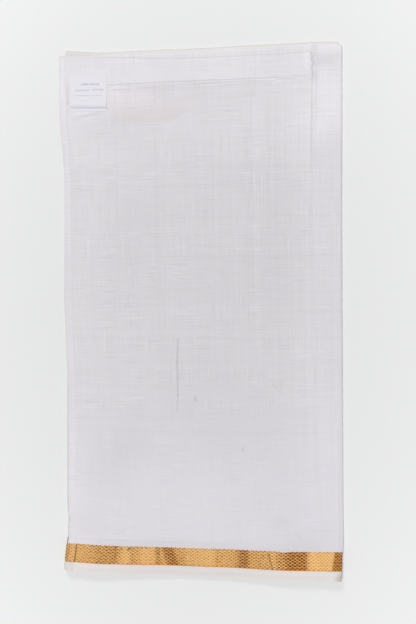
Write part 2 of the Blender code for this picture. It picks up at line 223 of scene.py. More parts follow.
# The height, width, shade and line_width that small puckers share
PUCKER = (-0.1, 0.8, 0.7, 1)
CREASES = rows_of(
    Crease,
    # The long slit-like crease left of the middle
    (-25.5, -29, -26.9, -64, -0.1, 1.3, 0.17, 1.3), (-26.9, -58, -25.7, -104, -0.1, 1.3, 0.16, 1.3),
    (-25.7, -98, -27.2, -121, -0.06, 1.3, 0.11, 1.2),
    # Slanting creases over the lower half
    (78.5, -75, 102.8, -101, 0.12, 1.8, 0.045, 1.3), (112.9, -260.5, 117.5, -263.5, 0.08, 2, 0.03, 1.5),
    (116, -262.5, 126.8, -273, 0.14, 1.9, 0.045, 1.4), (118, -262, 128.5, -272, 0.00, 1, -0.03, 1.2),
    (-107, -270.5, -76, -258, 0.2, 2.4, 0.03, 1.8), (88, -246, 112, -252, -0.1, 3.5, 0.02, 3.5),
    # Folds that run along above the border
    (-160, -273.4, -60, -275, 0.1, 1.2, -0.03, 0.8), (-150, -276.4, 60, -278.6, -0.08, 1.2, 0.03, 0.9),
    (60, -277.6, 160, -281.6, 0.1, 1.2, -0.03, 0.8), (126, -259.8, 162, -259.2, 0.12, 1.2, 0.035, 0.9),
    # Below the label, and two short pleats in the tinted patch
    (-112.8, 247.6, -158, 234, 0.14, 3.2, 0.06, 2.8), (-124, 243, -158, 241.5, 0.1, 1.2, -0.05, 1.2),
    (-59, 250.2, -50, 261.2, 0.14, 0.9, 0.08, 0.6), (-57.6, 250.2, -48.6, 261.2, 0.00, 0.9, -0.06, 0.6),
    (-56, 250.2, -47, 261.2, 0.12, 0.9, 0.06, 0.6),
    # Welts below the tuck
    (-111, 269.6, -82, 270.1, 0.12, 1, 0.09, 0.9), (-84, 270.2, -46, 271.8, 0.12, 1, 0.08, 0.9),
    (-109, 273.3, -86, 273, 0.1, 1.2, -0.06, 0.9), (-14, 273.8, 30, 274.8, 0.14, 0.9, 0.09, 0.8),
    (0, 271.9, 24, 272.4, 0.1, 0.9, -0.06, 0.8), (84, 281.6, 120, 281, 0.16, 1, 0.06, 0.9),
    (112, 280.6, 133, 280.8, 0.16, 1.2, 0.07, 1.2), (90, 277.6, 119, 276.6, 0.18, 1, 0.08, 0.8),
    (87, 271.4, 99, 275.2, 0.2, 1, -0.09, 0.9), (94, 275.2, 114, 275.2, 0.12, 1, -0.06, 0.9),
    # A small pleat where the end hem slants out
    (-164.5, 172.6, -146, 170.6, 0.3, 1.3, 0.05, 0.9),
    # The crumpled corner above the inner fold
    (133.9, 309.5, 133.8, 296.5, -0.12, 0.9, 0.22, 0.7),
    (135.4, 303, 137.8, 301.4, 0.16, 0.8, 0.13, 0.8), (137.6, 303.8, 139.4, 300, 0.22, 0.8, -0.09, 0.8),
    (135.6, 297.2, 138.4, 294.4, 0.16, 0.8, 0.16, 0.8),
    (139.9, 299.6, 139.6, 294.6, 0.16, 0.9, -0.08, 0.9),
    (135.6, 294, 133.4, 287.6, -0.08, 0.9, 0.14, 0.8), (133.2, 288.6, 134, 285.4, 0.08, 0.9, 0.08, 0.8),
    (136.6, 292.4, 135.2, 286.6, 0.12, 0.8, -0.09, 0.7),
    (133.4, 285, 136.2, 277.8, -0.02, 1.4, 0.03, 1.6), (136.6, 284, 134.9, 246, 0, 1, -0.06, 1.1),
    (128.6, 311, 128.6, 284.6, 0.22, 2, -0.045, 2.6), (135, 303.8, 166.5, 302.6, 0.18, 1.6, 0.035, 1.3),
    # Beside the label, and the turned gold's edge
    (-161.9, 278, -161.5, 240, 0, 1, 0.05, 1.1), (-158.2, -281, -161.4, -302, 0.05, 1, 0.26, 0.9),
    # A slit in the gold, and puckers along its top
    (82.5, -286, 85.2, -293.6, -0.2, 1.2, 0.5, 1.2), (84.9, -292, 88.8, -307, -0.16, 1.2, 0.44, 1.1),
    (84.6, -287, 90.6, -306, 0.16, 1, -0.2, 0.9),
    (-103.2, -286.4, -101.4, -286.4, *PUCKER), (-95.4, -286.8, -93.2, -286.8, *PUCKER),
    (-88, -288.8, -83, -285.3, -0.12, 0.9, 0.75, 1), (-70.6, -285.3, -68.6, -285.3, *PUCKER),
    (-65.7, -285.1, -63.7, -285.1, *PUCKER), (-49.4, -286.2, -47.4, -286.2, *PUCKER),
    (-50.4, -289.4, -48.6, -293, -0.12, 1.4, 0.55, 1.2),
)
# Creases that start below this height, in millimetres, are drawn on the gold
CREASED_GOLD_TOP = -280.5
# Over what distance from the left edge the inner panel's upper fold sinks from the others
INNER_START = (10 * MM, 60 * MM)
# A nick low down on the turned hem, drawn as painted shade
HEM_CREASES = rows_of(Crease, (-161.2, -246.5, -158.6, -257.5, 0, 1, 0.14, 1.2))


class Wave(NamedTuple):
    """A long wave of the top layer: its height and its lengths, in millimetres, and its phase."""

    height: float
    across: float
    along: float
    phase: float


WAVES = rows_of(Wave, (0.16, 31, 90, 0.6), (0.14, 58, -44, 2.1), (0.1, 17, 160, 4), (0.09, -120, 23, 1))


@dataclass(frozen=True)
class Packet:
    """The folded packet's sizes, its outline and its heights, as the frame has them."""

    loom_width: float = 1.27
    cut_length: float = 2.0
    centre_x: float = 2.9 * MM
    selvedge_width: float = 11.5 * MM
    border_width: float = 22.3 * MM
    stack_height: float = 5 * MM
    strip_drop: float = 1.1 * MM
    upper_drop: float = 0.8 * MM
    band_rise: float = 0.35 * MM
    corner_radius: float = 5 * MM
    hem_line: float = 10.5 * MM
    inner_fold_line: float = 300 * MM
    fold_slope: float = 1.4 * MM
    tuck_slope: float = 0.9 * MM
    tuck_start: tuple[float, float] = (-113 * MM, -100 * MM)
    curl_reach: float = 75 * MM
    ripple_reach: float = 55 * MM
    straightened_width: float = 60 * MM
    outline_softness: float = 0.5 * MM
    worn_corner: float = 1.8 * MM
    worn_reach: tuple[float, float] = (5 * MM, 14 * MM)
    softer_below: tuple[float, float] = (200 * MM, 125 * MM)
    softest_below: tuple[float, float] = (-200 * MM, -270 * MM)

    @property
    def length(self) -> float:
        """From the selvedges to the upper fold."""
        return self.loom_width / 2

    @property
    def width(self) -> float:
        """From the hemmed end to the right fold."""
        return self.cut_length / 6

    @property
    def border_top(self) -> float:
        """Where the border ends and the ground starts."""
        return self.selvedge_width + self.border_width

    @property
    def tuck_line(self) -> float:
        """The pressed line across the packet, near the upper fold."""
        return self.length - 39.7 * MM

    @property
    def inner_top(self) -> float:
        """The upper fold of the inner panel, which presses through."""
        return self.length - 11 * MM

    @property
    def shoulder(self) -> float:
        """Where the end hem stops short of the upper fold."""
        return self.length - 7.6 * MM

    @staticmethod
    def column(table: Sequence, name: str) -> tuple[Array, Array]:
        """A station table's places and one of its columns, in metres."""
        number = table[0]._fields.index(name)
        return np.array([row[0] for row in table]) * MM, np.array([row[number] for row in table]) * MM

    def read(self, table: Sequence, name: str, place: Array, softness: float = 0) -> Array:
        """A column of a station table, read in straight lines between the stations, and a little averaged.

        Args:
            table: SIDES or ENDS.
            name: The column.
            place: Where to read it, in metres.
            softness: How far either side the reading is averaged.

        Returns:
            The values in metres.
        """
        stations, values = self.column(table, name)
        shifts = (-1, -0.5, 0, 0.5, 1) if softness else (0,)
        return sum(np.interp(place + shift * softness, stations, values) for shift in shifts) / len(shifts)

    def swell(self, name: str, place: Array) -> Array:
        """A column of ENDS, read as waves that are level at each station."""
        stations, values = self.column(ENDS, name)
        index = np.clip(np.searchsorted(stations, place) - 1, 0, len(stations) - 2)
        share = ease(0, 1, (place - stations[index]) / (stations[index + 1] - stations[index]))
        return values[index] + (values[index + 1] - values[index]) * share

    def side(self, name: str, y: Array) -> Array:
        """A column of SIDES."""
        return self.read(SIDES, name, y, self.outline_softness)

    def end(self, name: str, x: Array) -> Array:
        """A column of ENDS."""
        return self.read(ENDS, name, x, 12 * self.outline_softness)

    def left_edge(self, y: Array) -> Array:
        """The packet's left edge."""
        return self.centre_x - self.width / 2 - self.side("left_out", y)

    def right_edge(self, y: Array) -> Array:
        """The packet's right edge, where the layers fold back."""
        return self.centre_x + self.width / 2 + self.side("right_out", y)

    def inner_fold(self, y: Array) -> Array:
        """The right end of the inner panel, which shows through the top layer."""
        return self.centre_x + self.width / 2 - self.side("inner_fold_in", y)

    def lower_edge(self, x: Array) -> Array:
        """The packet's lower edge, along the selvedges."""
        return -self.length / 2 - self.end("lower_out", x)

    def plan(self, across: Array, along: Array) -> tuple[Array, Array]:
        """The real X and Y of points on the nominal sheet.

        Args:
            across: Distance from the left edge of the nominal rectangle.
            along: Distance from its lower edge.

        Returns:
            X and Y.
        """
        nominal_x = self.centre_x - self.width / 2 + across
        upper = self.length / 2
        low = self.lower_edge(nominal_x)
        tuck, inner_top = upper - self.end("tuck_in", nominal_x), upper - self.end("inner_top_in", nominal_x)
        knots = (0, self.border_top, self.tuck_line, self.inner_top, self.length)
        places = (low, low + self.border_top, tuck, inner_top, upper + self.end("upper_out", nominal_x))
        y = warp(along, knots, places)
        reach_across, reach_along = self.worn_reach
        worn = np.clip(1 - across / reach_across, 0, 1) ** 2 * np.clip(1 - along / reach_along, 0, 1)
        y = y + np.clip(along - self.length, 0, None) + self.worn_corner * worn
        left = self.left_edge(y)
        knots = (0, self.hem_line, self.inner_fold_line, self.width)
        places = (left, left + self.side("hem_width", y), self.inner_fold(y), self.right_edge(y))
        return warp(across, knots, places), y

    def rounded(self, across: Array, along: Array, top: Array) -> tuple[Array, Array]:
        """The nominal sheet, up to top, with its right upper corner rounded, as a square becomes a disc."""
        radius = self.corner_radius
        p = np.clip((across - self.width + radius) / radius, 0, None)
        q = np.clip((along - top + radius) / radius, 0, None)
        both = (p > 0) & (q > 0)
        p_disc = p * np.sqrt(np.clip(1 - q * q / 2, 0, 1))
        q_disc = q * np.sqrt(np.clip(1 - p * p / 2, 0, 1))
        rounded_across = np.where(both, self.width - radius + radius * p_disc, across)
        return rounded_across, np.where(both, top - radius + radius * q_disc, along)

    def curl(self, x: Array, y: Array) -> Array:
        """How high the packet's underside stands off the surface at its lower corners."""
        rise = 1 - ease(0, self.curl_reach, y - self.lower_edge(x))
        return self.swell("curl", x) * rise * rise

    def slope_at(self, y: Array) -> Array:
        """Half the width of the step at the inner panel's end, which is crisp only near the upper fold."""
        return self.fold_slope * (1 + 2.2 * ease(*self.softer_below, y) + 1.6 * ease(*self.softest_below, y))

    def steps(self, x: Array, y: Array) -> tuple[Array, Array]:
        """1 beyond the inner panel's right end and 0 before it, and the same at its upper fold."""
        slope = self.slope_at(y)
        from_top = y - self.length / 2 + self.end("inner_top_in", x)
        return ease(-slope, slope, x - self.inner_fold(y)), ease(-self.tuck_slope, self.tuck_slope, from_top)

    def missing(self, x: Array, y: Array) -> Array:
        """1 where the inner panel isn't below, 0 where it is."""
        beyond_end, beyond_top = self.steps(x, y)
        left = self.centre_x - self.width / 2
        return 1 - (1 - beyond_end) * (1 - beyond_top * ease(*INNER_START, x - left))

    def thickness(self, x: Array, y: Array) -> Array:
        """The packet's thickness: less beyond the inner panel, and more in a band above the tuck."""
        beyond_end, beyond_top = self.steps(x, y)
        from_tuck = y - self.length / 2 + self.end("tuck_in", x)
        beyond_tuck = ease(-self.tuck_slope, self.tuck_slope, from_tuck)
        inside = 1 - beyond_end
        band = beyond_tuck * (1 - beyond_top) * inside * ease(*self.tuck_start, x)
        ripple = self.swell("ripple", x) * (1 - ease(0, self.ripple_reach, y - self.lower_edge(x)))
        lost = self.strip_drop * beyond_end + self.upper_drop * beyond_top * inside
        return self.stack_height - lost + self.band_rise * band + ripple

    def relief(self, x: Array, y: Array) -> Array:
        """How far the top layer stands out: welts along the tuck, creases and a sum of long sine waves."""
        upper = self.length / 2
        from_tuck = y - upper + self.end("tuck_in", x)
        inside = 1 - ease(-2 * MM, 2 * MM, x - self.inner_fold(y))
        welt = 0.2 * MM * ridge(from_tuck + 2.4 * MM, 0.8 * MM) * inside * ease(-104 * MM, -90 * MM, x)
        second = 0.16 * MM * ridge(from_tuck + 5.4 * MM, 0.9 * MM)
        second = second * (1 - ease(-20 * MM, 20 * MM, x)) * ease(-104 * MM, -90 * MM, x)
        from_right = self.right_edge(y) - x
        nested = -0.22 * MM * (1 - ease(3.6 * MM, 5 * MM, from_right))
        corner = 0.2 * MM * ridge(x - self.inner_fold(y) + 3 * MM, 2 * MM) * ease(268 * MM, 290 * MM, y)
        waves = 0
        for wave in WAVES:
            waves = waves + wave.height * MM * np.sin(x / MM / wave.across + y / MM / wave.along + wave.phase)
        height = welt + second + nested + corner + waves * self.inland(x, y)
        for crease in CREASES:
            height = height + self.crease_height(crease, x, y)
        return height

    def inland(self, x: Array, y: Array) -> Array:
        """0 at the packet's edges, 1 from 20 mm inside them."""
        across = np.minimum(x - self.left_edge(y), self.right_edge(y) - x)
        along = np.minimum(y - self.lower_edge(x), self.length / 2 - y)
        return ease(0, 20 * MM, np.minimum(across, along))

    @staticmethod
    def crease_height(crease: Crease, x: Array, y: Array) -> Array:
        """One crease's height: a bell across its line, tapered over its last fifth at both ends."""
        start = np.array([crease.x1, crease.y1]) * MM
        run = np.array([crease.x2, crease.y2]) * MM - start
        share = ((x - start[0]) * run[0] + (y - start[1]) * run[1]) / (run @ run)
        held = np.clip(share, 0, 1)
        distance = np.hypot(x - start[0] - held * run[0], y - start[1] - held * run[1])
        taper = ease(0, 0.2, held) * ease(0, 0.2, 1 - held)
        return crease.height * MM * ridge(distance, crease.width * MM) * taper

    def poke(self, y: Array) -> Array:
        """How far the hemmed layers stand out beyond the folds below them."""
        return np.maximum(self.side("left_out", y) - 0.9 * MM, 0)

    def peek(self, y: Array) -> Array:
        """How far inside the left edge the lower folds lie: less than 0 where they show."""
        below = 1 - ease(-105 * MM, -60 * MM, y)
        notch = ease(-262 * MM, -250 * MM, y) * (1 - ease(-250 * MM, -243 * MM, y))
        return 0.5 * MM - 2.5 * MM * below + 1.2 * MM * notch


# ---- How the cloth runs through the packet


class Side(Enum):
    """The packet's two sides that layers fold at."""

    LEFT = -1
    RIGHT = 1


class Pass(NamedTuple):
    """One straight run of the doubled cloth across the packet.

    Level is where its middle lies, and thin_level the same where the inner panel is missing. The fold_in
    values say how far, in millimetres, its upper fold lies below the nominal edge at its left and right
    ends. Poking is the share of layers_out that it stands out, or -1 for the top leaf.
    """

    heading: int
    level: float
    thin_level: float
    fold_in_left: float
    fold_in_right: float
    poking: float
    inner: bool = False


class Turn(NamedTuple):
    """A fold of the doubled cloth: half a circle, seen from the selvedges, from one pass to the next.

    Radius is in levels, and tip_in how far inside the packet's edge its tip lies, in millimetres.
    """

    side: Side
    centre: float
    radius: float
    tip_in: float
    downwards: bool


# From the hemmed end on top: folded end to end, then in three as a letter is, with the closed end innermost
ROUTE = (
    Pass(1, 11 / 12, 7 / 8, 1.4, 1.3, -1),
    Turn(Side.RIGHT, 1 / 2, 3 / 8, 0, True),
    Pass(-1, 1 / 12, 1 / 8, 0, 0, 1),
    Turn(Side.LEFT, 4 / 12, 3 / 12, 0, False),
    Pass(1, 7 / 12, 0.54, 0.9, 12.8, 0, inner=True),
    Turn(Side.RIGHT, 6 / 12, 1 / 12, 34.9, True),
    Pass(-1, 5 / 12, 0.46, 1.2, 13.3, 0, inner=True),
    Turn(Side.LEFT, 4 / 12, 1 / 12, 0.67, True),
    Pass(1, 3 / 12, 3 / 8, 0.2, 0.2, 0.9),
    Turn(Side.RIGHT, 1 / 2, 1 / 8, 4.9, False),
    Pass(-1, 9 / 12, 5 / 8, 0.4, 0.4, 0.6),
)
TURN_LENGTH = 4 * MM  # how far a radius of one level reaches across the packet
FOLD_DEPTH = 0.2 * MM  # how far the upper fold reaches beyond its line
FOLD_REFERENCE_IN = 1.6 * MM
# How far inside the packet's left edge the cloth's two ends lie, on the outer and the inner leaf
FIRST_END_IN_INNER = 0.9 * MM
LAST_END_IN_OUTER = 1.3 * MM
LAST_END_IN_INNER = 0.5 * MM
HALF_PITCH = 1 / 24
THIN_HALF_PITCH = 1 / 16


@dataclass
class Columns:
    """Where the doubled cloth lies at each station of its length, as arrays of one value a station."""

    across: Array
    level: Array
    thin_level: Array
    out_across: Array
    out_level: Array
    half: Array
    fold_in: Array
    poking: Array
    lower_group: Array
    end_in_outer: Array
    end_in_inner: Array
    s: Array

    @staticmethod
    def made(count: int, **values: Number) -> "Columns":
        """Stations from arrays, or from numbers that are the same at each; what isn't given is 0."""
        given = {name: np.asarray(values.get(name, 0), dtype=float) for name in Columns.__dataclass_fields__}
        return Columns(**{name: np.broadcast_to(value, count) for name, value in given.items()})

    def picked(self, chosen: slice) -> "Columns":
        """Some of the stations."""
        return Columns(**{name: getattr(self, name)[chosen] for name in self.__dataclass_fields__})

    @staticmethod
    def joined(parts: Sequence["Columns"]) -> "Columns":
        """The parts end to end, with the cloth's length measured through all of them."""
        names = Columns.__dataclass_fields__
        whole = Columns(**{name: np.concatenate([getattr(part, name) for part in parts]) for name in names})
        rise = np.diff(whole.level) * TURN_LENGTH
        whole.s = np.concatenate([[0], np.cumsum(np.hypot(np.diff(whole.across), rise))])
        return whole


@dataclass
class Rows:
    """Where each station of the cloth's width lies.

    Turn_sine is 1 at the upper fold's tip and 0 off it; turn_cosine is 1 on the outer leaf, -1 on the inner.
    """

    along: Array
    turn_sine: Array
    turn_cosine: Array
    t: Array

    @staticmethod
    def made(outer: Array, turn_steps: int, inner: Optional[Array] = None) -> "Rows":
        """Rows up the outer leaf, round the upper fold and, if there is one, down the inner leaf.

        Args:
            outer: Places along the outer leaf, increasing.
            turn_steps: Cells round the fold, or 0 for none.
            inner: Places along the inner leaf, increasing, or None.

        Returns:
            The rows.
        """
        angles = np.linspace(0, pi, turn_steps + 1)[1:] if turn_steps else np.zeros(0)
        down = np.zeros(0) if inner is None else inner[::-1][1:]
        along = np.concatenate([outer, np.full(len(angles), outer[-1]), down])
        sine = np.concatenate([0 * outer, np.sin(angles), 0 * down])
        cosine = np.concatenate([0 * outer + 1, np.cos(angles), 0 * down - 1])
        fold_width = pi * FOLD_DEPTH
        t = np.concatenate([outer, outer[-1] + fold_width * angles / pi, 2 * outer[-1] + fold_width - down])
        return Rows(along, sine, cosine, t)


@dataclass(frozen=True)
class FoldedCloth:
    """The whole cloth as one surface of two parameters: s along its length and t across its width."""

    packet: Packet
    squeeze: float = 0.07

    def pass_columns(self, number: int, places: Array) -> Columns:
        """Stations on a straight run.

        Args:
            number: The run's number in ROUTE.
            places: Distances from the left edge, increasing.

        Returns:
            The stations, in the order that the cloth runs.
        """
        run = ROUTE[number]
        share = ease(*INNER_START, places) if run.inner else places / self.packet.width
        last = len(ROUTE) - 1
        made = Columns.made(
            len(places),
            across=places,
            level=run.level,
            thin_level=run.thin_level,
            out_level=run.heading,
            half=HALF_PITCH,
            fold_in=(run.fold_in_left + (run.fold_in_right - run.fold_in_left) * share) * MM,
            poking=run.poking,
            lower_group=0 < number < last,
            end_in_outer=LAST_END_IN_OUTER if number == last else 0,
            end_in_inner={0: FIRST_END_IN_INNER, last: LAST_END_IN_INNER}.get(number, 0),
        )
        return made if run.heading > 0 else made.picked(slice(None, None, -1))

    def turn_centre(self, number: int) -> float:
        """How far from the left edge a fold's centre lies."""
        turn = ROUTE[number]
        right = turn.side is Side.RIGHT
        half = THIN_HALF_PITCH if right and turn.centre == 0.5 and not ROUTE[number - 1].inner else HALF_PITCH
        reach = (turn.radius + half) * TURN_LENGTH + turn.tip_in * MM
        return self.packet.width - reach if right else reach

    def turn_columns(self, number: int, steps: int) -> Columns:
        """Stations round a fold: half a circle about its centre, in across and level, with both its ends.

        Args:
            number: The fold's number in ROUTE.
            steps: Cells round the fold.

        Returns:
            The stations.
        """
        turn, before, after = ROUTE[number], ROUTE[number - 1], ROUTE[number + 1]
        angle = np.linspace(0, pi, steps + 1)
        out_x = turn.side.value * np.sin(angle)
        out_z = np.cos(angle) if turn.downwards else -np.cos(angle)
        cloth_out = before.heading if turn.downwards else -before.heading
        right = turn.side is Side.RIGHT
        thin = right and not before.inner
        level = turn.centre + turn.radius * out_z
        folds = [run.fold_in_right if right else run.fold_in_left for run in (before, after)]
        return Columns.made(
            len(angle),
            across=self.turn_centre(number) + turn.radius * TURN_LENGTH * out_x,
            level=level,
            thin_level=level,
            out_across=cloth_out * out_x,
            out_level=cloth_out * out_z,
            half=THIN_HALF_PITCH if thin else HALF_PITCH,
            fold_in=np.linspace(*folds, len(angle)) * MM,
            poking=np.linspace(before.poking, after.poking, len(angle)),
            lower_group=not thin,
        )

    def selvedge_in(self, columns: Columns, inner_leaf: Array) -> Array:
        """How far inside the packet's lower edge each leaf's selvedge lies: a little, in uneven waves."""
        s = columns.s
        outer = 0.6 + 0.3 * np.sin(s / (53 * MM) + 0.7) + 0.2 * np.sin(s / (21 * MM))
        inner = 0.7 + 0.35 * np.sin(s / (47 * MM)) + 0.25 * np.sin(s / (19 * MM) + 1.3)
        started = ease(self.packet.width, self.packet.width + 20 * MM, s)
        return np.where(inner_leaf, inner, outer * started) * MM

    def top_height(self, x: Array, y: Array) -> Array:
        """How high the top layer's outer face lies above the packet's underside."""
        level = ROUTE[0].level + HALF_PITCH
        return level * (self.packet.thickness(x, y) + self.packet.relief(x, y)) + CLOTH_THICKNESS / 2

    def surface(self, columns: Columns, rows: Rows, hidden: bool) -> tuple[Array, Array]:
        """The middle of the cloth's thickness, as a grid of rows and columns.

        In words: the route gives a place across and a level, moved outwards by half the doubled cloth. The
        row gives a place along, stretched between the station's own selvedge and its own upper fold. The
        packet's plan, thickness, relief and curl then bend this box into the real form.

        Args:
            columns: Stations along the cloth's length.
            rows: Stations across its width.
            hidden: True for the layers below the top one, which are squeezed a little.

        Returns:
            Points, and their place on the flat cloth: s, t and the distance from the nearer selvedge.
        """
        packet = self.packet
        sine, cosine = rows.turn_sine[:, None], rows.turn_cosine[:, None]
        inner_leaf = cosine < 0
        across = columns.across + columns.out_across * columns.half * TURN_LENGTH * cosine
        nominal_x = packet.centre_x - packet.width / 2 + across
        fold = packet.length - columns.fold_in
        fold = fold + np.maximum(columns.poking, 0) * packet.end("layers_out", nominal_x)
        fold = fold + np.minimum(columns.poking, 0) * packet.end("leaf_in", nominal_x)
        middle = packet.tuck_line - 10 * MM
        reference = packet.length - FOLD_REFERENCE_IN
        ends = (self.selvedge_in(columns, inner_leaf), middle, fold)
        along = warp(rows.along[:, None], (0, middle, reference), ends) + FOLD_DEPTH * sine
        depth = packet.width - across
        x, y = packet.plan(*packet.rounded(across, along, np.maximum(packet.length, fold + FOLD_DEPTH)))
        free = np.where(inner_leaf, columns.end_in_inner, columns.end_in_outer)
        inset = free + columns.lower_group * (packet.poke(y) + packet.peek(y))
        x = x + inset * np.clip(1 - across / packet.straightened_width, 0, 1)
        gone = packet.missing(x, y) * (columns.out_across == 0)
        half = columns.half * (1 - gone) + THIN_HALF_PITCH * gone
        level = columns.level * (1 - gone) + columns.thin_level * gone
        level = level + columns.out_level * half * cosine
        if hidden:
            inside = np.minimum(np.minimum(across, depth), np.minimum(along, packet.length - along))
            level = level * (1 - self.squeeze * ease(4 * MM, 16 * MM, inside))
        z = packet.curl(x, y) + level * (packet.thickness(x, y) + packet.relief(x, y))
        t = rows.t[:, None]
        return stacked(x, y, z), stacked(columns.s, t, np.minimum(t, packet.loom_width - t))


# ---- Meshes


def grid_cells(rows: int, columns: int) -> Array:
    """The four corners of each cell of a grid, anticlockwise seen from its front."""
    numbers = np.arange(rows * columns).reshape(rows, columns)
    corners = (numbers[:-1, :-1], numbers[:-1, 1:], numbers[1:, 1:], numbers[1:, :-1])
    return np.stack(corners, axis=-1).reshape(-1, 4)


def free_edges(cells: Array) -> Array:
    """The edges that only one cell has, each from start to end as its cell runs."""
    edges = np.stack([cells, np.roll(cells, -1, axis=1)], axis=-1).reshape(-1, 2)
    count = int(cells.max()) + 1
    forward = edges[:, 0] * count + edges[:, 1]
    backward = edges[:, 1] * count + edges[:, 0]
    return edges[~np.isin(forward, backward)]


def surface_normals(points: Array) -> Array:
    """The unit normals of a grid of points: the cross product of its slopes along columns and rows."""
    normal = np.cross(np.gradient(points, axis=1), np.gradient(points, axis=0))
    return normal / np.maximum(np.linalg.norm(normal, axis=-1, keepdims=True), 1e-12)


def wash_of(tone: Number, cool: Number = 0, pink: Number = 0) -> Array:
    """At each point, how light, how cool and how pink the cloth looks."""
    return stacked(tone, cool, pink)


PLAIN = wash_of(1)
ALL = np.array(True)


def add_object(name: str, data: bpy.types.ID) -> Piece:
    """An object at the origin, linked to the scene."""
    made = bpy.data.objects.new(name, data)
    bpy.context.scene.collection.objects.link(made)
    return made


def add_piece(name: str, points: Array, faces: list, cloth: Array, wash: Array = PLAIN) -> Piece:
    """One named object at the origin.

    Args:
        name: The piece's name.
        points: Its points, in metres.
        faces: The points' numbers round each face.
        cloth: Each point's place on the flat cloth, which the weave follows.
        wash: How light, cool and pink it looks at each point.

    Returns:
        The object.
    """
    mesh = bpy.data.meshes.new(name)
    mesh.from_pydata(points.tolist(), [], faces)
    for title, values in (("cloth", cloth), ("wash", wash)):
        layer = mesh.attributes.new(title, "FLOAT_VECTOR", "POINT")
        layer.data.foreach_set("vector", np.broadcast_to(values, points.shape).astype(np.float32).ravel())
    mesh.shade_smooth()
    mesh.set_sharp_from_angle(angle=radians(50))
    return add_object(name, mesh)


def add_shell(name: str, middle: Array, cloth: Array, wash: Array = PLAIN, keep: Array = ALL) -> Piece:
    """A closed thin shell: the middle surface moved out half the cloth's thickness to each side, and a rim.

    Args:
        name: The piece's name.
        middle: A grid of points in the middle of the cloth.
        cloth: Their places on the flat cloth.
        wash: How light, cool and pink each looks.
        keep: Which of the grid's cells the piece has.

    Returns:
        The object.
    """
    offset = surface_normals(middle) * CLOTH_THICKNESS / 2
    rows, columns = middle.shape[:2]
    kept = np.broadcast_to(keep, (rows - 1, columns - 1))
    cells = grid_cells(rows, columns)[kept.ravel()]
    used, flat = np.unique(cells, return_inverse=True)
    cells = flat.reshape(cells.shape)
    count = len(used)
    rim = free_edges(cells)
    start, end = rim[:, 0], rim[:, 1]
    walls = np.stack([end, start, start + count, end + count], axis=-1)
    faces = np.concatenate([cells, cells[:, ::-1] + count, walls]).tolist()
    sides = np.stack([middle + offset, middle - offset])
    whole = [np.broadcast_to(values, sides.shape).reshape(2, -1, 3) for values in (sides, cloth, wash)]
    points, place, look = (values[:, used].reshape(-1, 3) for values in whole)
    return add_piece(name, points, faces, place, look)


def add_loft(name: str, rings: Array, cloth: Array, wash: Array) -> Piece:
    """A closed body through rings of points, with walls between neighbouring rings and a cap at each end.

    Args:
        name: The piece's name.
        rings: The points, which run clockwise round each ring seen along the body.
        cloth: Their places on the flat cloth.
        wash: How light, cool and pink each looks.

    Returns:
        The object.
    """
    count, around = rings.shape[:2]
    numbers = np.arange(count * around).reshape(count, around)
    beside = np.roll(numbers, -1, axis=1)
    walls = np.stack([numbers[:-1], beside[:-1], beside[1:], numbers[1:]], axis=-1).reshape(-1, 4)
    faces = walls.tolist() + [numbers[0, ::-1].tolist(), numbers[-1].tolist()]
    return add_piece(name, rings.reshape(-1, 3), faces, cloth.reshape(-1, 3), wash.reshape(-1, 3))


# ---- Node wiring


